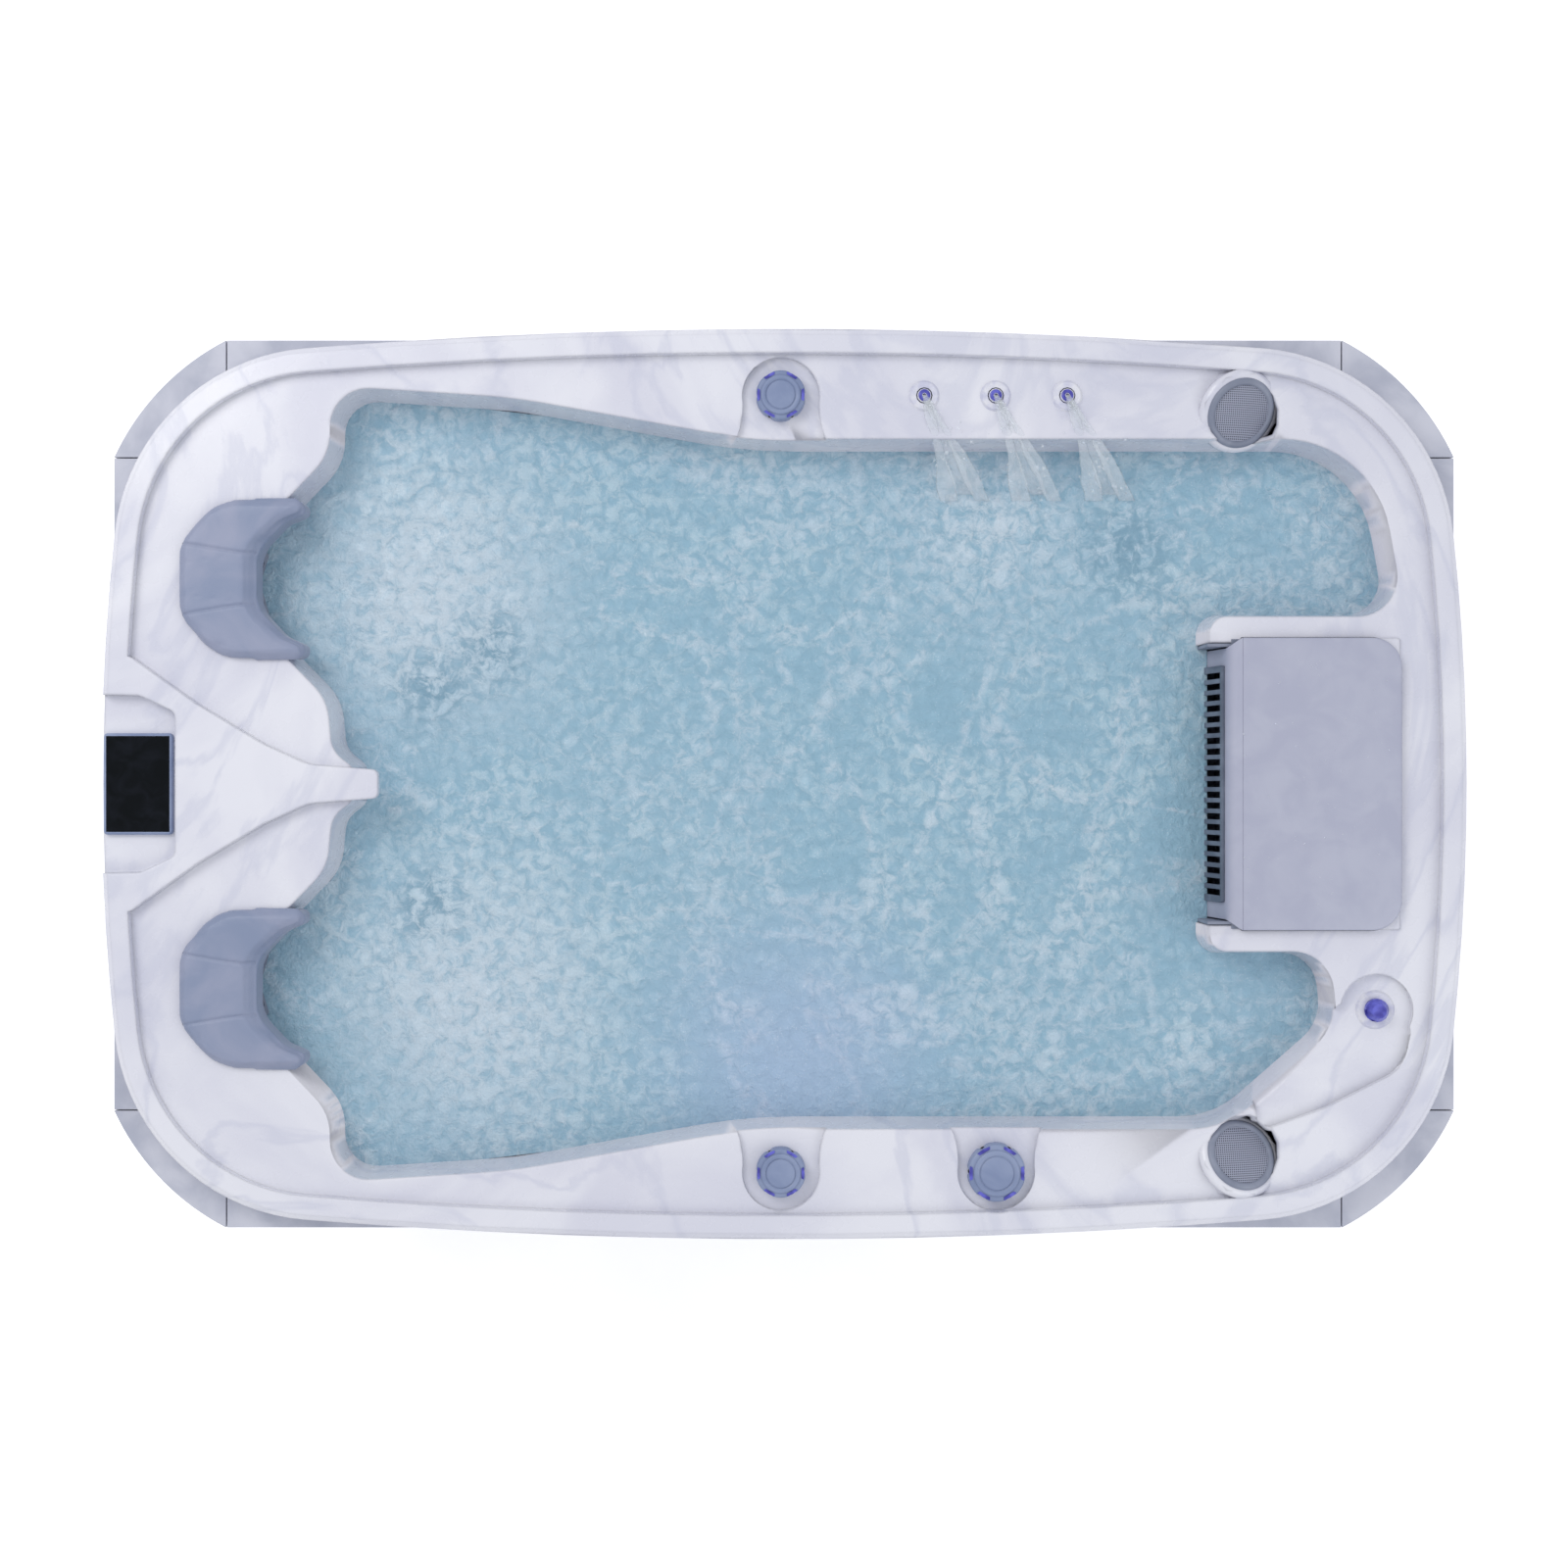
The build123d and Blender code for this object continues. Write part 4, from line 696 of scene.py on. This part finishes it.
def make_knob(node):
    """Turned handle with finger notches and a lit window in each."""
    low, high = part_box(node)
    radius = 0.5 * (high.x - low.x)
    place = Matrix.Translation(((low.x + high.x) / 2, (low.y + high.y) / 2, low.z))
    top = high.z - low.z
    shape = bmesh.new()

    def notched(angle):
        return 1.0 - 0.085 * max(0.0, cos(KNOB_NOTCHES * angle)) ** 4

    skirt = [(0, 0), (radius * 0.9, 0), (radius * 0.99, 0.002), (radius, 0.005), (radius, top - 0.009)]
    skirt += [(radius * 0.985, top - 0.006), (radius * 0.95, top - 0.0045), (radius * 0.80, top - 0.004)]
    turn(shape, skirt, place, 144, 0, notched)
    crown = [(radius * 0.80, top - 0.004), (radius * 0.79, top - 0.0015), (radius * 0.76, top - 0.0005)]
    crown += [(radius * 0.62, top - 0.0005), (radius * 0.60, top - 0.002), (radius * 0.575, top - 0.002)]
    crown += [(radius * 0.56, top - 0.0004), (radius * 0.53, top), (0, top)]
    turn(shape, crown, place, 144)
    handle = piece(f"{node}_handle", shape, [SILVER], node)
    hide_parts(node)
    for k in range(KNOB_NOTCHES):
        angle = 2 * pi * k / KNOB_NOTCHES
        window = bmesh.new()
        turned = place @ Matrix.Rotation(angle, 4, "Z")
        corners = [(0.83, -0.2), (0.925, -0.25), (0.955, 0.0), (0.925, 0.25), (0.83, 0.2)]
        low_ring = [turned @ Vector((radius * a, radius * b, top - 0.0046)) for a, b in corners]
        high_ring = [turned @ Vector((radius * a, radius * b, top - 0.0034)) for a, b in corners]
        middle = turned @ Vector((radius * 0.89, 0, top - 0.0033))
        sweep_rings(window, [low_ring, high_ring, [middle]])
        piece(f"{node}_window_{k + 1}", window, [LIT], node, smooth=False)


def plate(shape, corners, levels):
    """A closed slab with rounded corners: one ring for each (inset, height), capped at both ends."""
    rings = []
    for inset, height in levels:
        rings.append([Vector((p.x, p.y, height)) for p in rounded_outline(corners, inset)])
    sweep_rings(shape, rings)
    shape.verts.ensure_lookup_table()
    count = len(rings[0])
    for first in (0, len(shape.verts) - count):
        shape.faces.new(shape.verts[first:first + count])


def make_lid():
    """Filter lid: a plate with round back corners, and an apron that folds down round the grille."""
    shape = bmesh.new()
    corners = [(LID_BACK, -LID_HALF, LID_CORNER), (LID_BACK, LID_HALF, LID_CORNER)]
    corners += [(LID_FOLD, LID_HALF, 0.003), (LID_FOLD, -LID_HALF, 0.003)]
    top = RIM_TOP
    levels = [(0.004, top - 0.0112), (0.0, top - 0.0098), (0.0, top - 0.0035), (0.0008, top - 0.0018)]
    levels += [(0.0025, top - 0.0006), (0.006, top), (0.02, top + 0.0004)]
    plate(shape, corners, levels)
    lid = piece("filter_lid_plate", shape, [LID], "filter_lid")
    finish_edges(lid, 50)
    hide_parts("filter_lid")

    # Painted shadow: a dark sheet 1 mm thick, a little wider than the plate and just under its edge, stands
    # for the shade in the gap between lid and deck.
    lid_shadow_sheet = bmesh.new()
    plate(lid_shadow_sheet, corners, [(-0.0012, top - 0.0116), (-0.0012, top - 0.0108), (0.003, top - 0.0108)])
    piece("filter_lid_shadow_sheet", lid_shadow_sheet, [DARK], "filter_lid")

    profile = [(LID_FOLD + 0.001, top - 0.0008), (0.697, top - 0.0012), (0.691, top - 0.003)]
    bend_x, bend_drop = 0.6815, 0.016
    profile += [(0.6865, top - 0.0065), (0.6835, top - 0.0105), (bend_x, top - bend_drop)]
    slope = (bend_x - LID_LOW.x) / (top - bend_drop - LID_LOW.z)
    slots_top, slots_low = GRILLE_HIGH.z - 0.001, GRILLE_LOW.z + 0.001
    for height in (slots_top, slots_low, LID_LOW.z):
        profile.append((bend_x - slope * (top - bend_drop - height), height))
    slot_half = GRILLE_HIGH.y - 0.001
    apron = bmesh.new()
    rows = []
    for x, z in profile:
        half = LID_HALF - 0.016 * min(1.0, (LID_FOLD - x) / 0.022) if x < LID_FOLD else LID_HALF
        rows.append([apron.verts.new((x, y, z)) for y in (-half, -slot_half, 0, slot_half, half)])
    hole = len(profile) - 3
    for k in range(len(rows) - 1):
        for j in range(4):
            if k == hole and j in (1, 2):
                continue
            apron.faces.new([rows[k][j], rows[k][j + 1], rows[k + 1][j + 1], rows[k + 1][j]])
    front = piece("filter_lid_apron", apron, [LID], "filter_lid")
    thick = front.modifiers.new("thick", "SOLIDIFY")
    thick.thickness = 0.004
    thick.offset = -1
    front.data = applied(front)
    finish_edges(front, 40)


def make_lid_seat():
    """The acrylic ledge round the lid, over the flange of the filter housing."""
    back, half = LID_BACK - 0.0002, LID_HALF - 0.0002
    outer = [(back, -half, 0.003), (back, half, 0.003), (LID_FOLD, half, 0), (LID_FOLD, -half, 0)]
    inner = [(back, -half, LID_CORNER), (back, half, LID_CORNER), (LID_FOLD, half, 0), (LID_FOLD, -half, 0)]
    runs = []
    for corners, inset in ((outer, 0.0), (inner, 0.004)):
        round_ends = [p for p in rounded_outline(corners, inset, radians(6.1)) if p.x > LID_FOLD + 0.01]
        side_half = half - inset
        runs.append([Vector((LID_FOLD, -side_half)), *round_ends, Vector((LID_FOLD, side_half))])
    low, high = DECK - 0.0005, DECK + 0.0033
    rings = [
        [Vector((*a, low)), Vector((*a, high)), Vector((*b, high)), Vector((*b, low))] for a, b in zip(*runs)
    ]
    shape = bmesh.new()
    sweep_rings(shape, rings)
    ledge = piece("lid_ledge", shape, [ACRYLIC], "tub")
    finish_edges(ledge, 40)


def make_speaker(side):
    """Domed punched grille in a rounded bezel, tilted on a soft acrylic collar."""
    sign = SIDES[side]
    flat = sin(SPEAKER_TILT)
    normal = Vector((flat * cos(SPEAKER_TURN), -sign * flat * sin(SPEAKER_TURN), cos(SPEAKER_TILT)))
    centre = Vector((SPEAKER_X, sign * SPEAKER_Y, DECK - 0.006))
    place = Matrix.Translation(centre) @ normal.to_track_quat("Z", "Y").to_matrix().to_4x4()
    shape = bmesh.new()
    r = SPEAKER_RADIUS
    bezel = [(r - 0.012, -0.004), (r + 0.001, -0.004), (r + 0.0025, 0.0), (r + 0.0025, 0.0025)]
    bezel += [(r + 0.001, 0.0048), (r - 0.002, 0.0062)]
    bezel += [(r - 0.0055, 0.0062), (r - 0.0075, 0.005), (r - 0.0085, 0.0032)]
    turn(shape, bezel, place, 96)
    base, rise = 0.0032, 0.0048
    shares = (1, 0.85, 0.7, 0.5, 0.3, 0.12, 0)
    dome = [(share * (r - 0.0085), base + rise * (1 - share * share)) for share in shares]
    turn(shape, dome, place, 96, 1)
    collar = bmesh.new()
    ring = [(r - 0.002, -0.005), (r + 0.012, -0.013), (r + 0.0135, -0.009), (r + 0.0115, -0.003)]
    ring += [(r + 0.007, 0.0005), (r + 0.0035, 0.0015), (r + 0.0015, 0.001), (r - 0.002, -0.005)]
    turn(collar, ring, place, 96)
    piece(f"speaker_collar_{side}", collar, [ACRYLIC], "tub")
    return piece(f"speaker_face_{side}", shape, [GREY, PERFORATED], "tub")


def make_speakers():
    """Both speakers, in place of the CAD node, which holds the two grilles."""
    rear = make_speaker("rear")
    make_speaker("front")
    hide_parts("speaker_grilles")


def ribbon(shape, path, widths, thickness):
    """A thin sheet of falling water along a path, with ragged edges."""
    rings = []
    around = 10
    for place, width in zip(path, widths):
        ragged = [width * (0.5 + 0.12 * noise.noise(place * 40 + Vector((s, 0, 0)))) for s in (0, 7)]
        ring = []
        for k in range(around):
            angle = 2 * pi * k / around
            reach = ragged[0] if cos(angle) > 0 else ragged[1]
            ring.append(place + Vector((reach * cos(angle), 0, thickness * sin(angle))))
        rings.append(ring)
    first, last = [[sum(ring, Vector()) / around] for ring in (rings[0], rings[-1])]
    sweep_rings(shape, [first, *rings, last])


def drop(shape, place, radius, flat=1.0):
    """A round drop, flattened where it sits on something."""
    made = bmesh.ops.create_icosphere(shape, subdivisions=2, radius=radius)
    for vertex in made["verts"]:
        vertex.co.z *= flat
        vertex.co += place


def make_fountains():
    """Three low arcs of clear water from the deck nozzles into the tub, with their spray."""
    for index, node in enumerate(NOZZLES):
        low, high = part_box(node)
        start = Vector(((low.x + high.x) / 2, (low.y + high.y) / 2, high.z - 0.001))
        across, along = ARC_REACH
        landing = start + Vector((across + 0.004 * index, along, WATER - start.z + 0.002))
        shape = bmesh.new()
        for strand in range(STRANDS):
            drift = Vector(((strand - 1) * 0.026, -0.01 * abs(strand - 1), 0))
            path, widths = [], []
            for k in range(25):
                t = k / 24
                place = start.lerp(landing + drift, t)
                place.z += ARC_RISE * t * (1 - t)
                path.append(place)
                widths.append(0.007 + 0.022 * t + 0.004 * sin(9 * t + strand))
            ribbon(shape, path, widths, 0.0022)
        for _ in range(SPRAY_DROPS):
            t = chance.uniform(0.3, 1.0)
            place = start.lerp(landing, t)
            place.z += ARC_RISE * t * (1 - t) + chance.uniform(-0.006, 0.008)
            place += Vector((chance.gauss(0, 0.02), chance.gauss(0, 0.012), 0))
            place.z = max(place.z, WATER + 0.006)
            drop(shape, place, chance.uniform(0.0012, 0.0032))
        piece(f"fountain_arc_{index + 1}", shape, [CLEAR_WATER], "tub")
        collar = bmesh.new()
        ring_place = Matrix.Translation((start.x, start.y, high.z - 0.002))
        ring = [(0.0035, 0), (0.0088, 0), (0.0092, 0.0012), (0.0082, 0.0024), (0.0035, 0.0024), (0.0035, 0)]
        turn(collar, ring, ring_place, 48)
        piece(f"{node}_lit_collar", collar, [LIT], node)


def make_drops():
    """Beads of splashed water on the lid."""
    shape = bmesh.new()
    for _ in range(LID_DROPS):
        x = chance.uniform(LID_LOW.x + 0.04, LID_HIGH.x - 0.02)
        y = chance.uniform(-0.19, 0.19)
        drop(shape, Vector((x, y, LID_HIGH.z)), chance.uniform(0.0009, 0.002), 0.45)
    piece("lid_drops", shape, [CLEAR_WATER], "filter_lid")


def make_studio():
    """Plain pale floor, soft light and a camera straight above, as the photograph was taken."""
    shape = bmesh.new()
    bmesh.ops.create_grid(shape, x_segments=2, y_segments=2, size=40)
    mesh = bpy.data.meshes.new("floor")
    shape.to_mesh(mesh)
    shape.free()
    floor = bpy.data.objects.new("floor", mesh)
    scene.collection.objects.link(floor)
    floor.location.z = -0.0005
    paint = Paint("floor", linear(244, 244, 246), 0.9)
    tone = paint.noise(3, 2)
    paint.colour(paint.blend(paint.level(tone, 0.3, 0.7), linear(242, 242, 245), linear(247, 247, 249)))
    path = paint.add("ShaderNodeLightPath")
    seen = paint.math("MAXIMUM", path.outputs["Is Camera Ray"], path.outputs["Is Glossy Ray"])
    seen = paint.math("MAXIMUM", seen, path.outputs["Is Transmission Ray"])
    paint.shader.inputs["Emission Color"].default_value = (1, 1, 1, 1)
    paint.join(paint.math("MULTIPLY", seen, 0.32), paint.shader.inputs["Emission Strength"])
    mesh.materials.append(paint.material)

    world = bpy.data.worlds.new("studio")
    world.use_nodes = True
    scene.world = world
    backdrop = world.node_tree.nodes["Background"]
    backdrop.inputs["Color"].default_value = (0.97, 0.98, 1.0, 1.0)
    backdrop.inputs["Strength"].default_value = 0.82
    for name, place, size, power, tint in (
        ("key", (-2.4, 2.2, 4.2), 2.6, 66, (1.0, 0.985, 0.97)),
        ("fill", (3.0, -2.0, 3.6), 3.0, 30, (0.96, 0.98, 1.0)),
    ):
        light = bpy.data.lights.new(name, "AREA")
        light.shape = "DISK"
        light.size = size
        light.energy = power
        light.color = tint
        lamp = bpy.data.objects.new(name, light)
        lamp.location = place
        lamp.rotation_euler = (-Vector(place) + Vector((0, 0, 0.5))).to_track_quat("-Z", "Y").to_euler()
        scene.collection.objects.link(lamp)

    camera = bpy.data.cameras.new("overhead")
    camera.sensor_width = SENSOR
    camera.lens = SENSOR * CAMERA_HEIGHT / FRAME_WIDTH
    eye = bpy.data.objects.new("overhead", camera)
    eye.location = (0, 0, RIM_TOP + CAMERA_HEIGHT)
    scene.collection.objects.link(eye)
    scene.camera = eye
    scene.view_settings.view_transform = "Standard"


make_studio()
dress_frame()
make_shell()
make_water()
for pillow_side in SIDES:
    make_pillow(pillow_side)
for knob in KNOBS:
    make_knob(knob)
make_lid()
make_lid_seat()
make_speakers()
make_fountains()
make_drops()
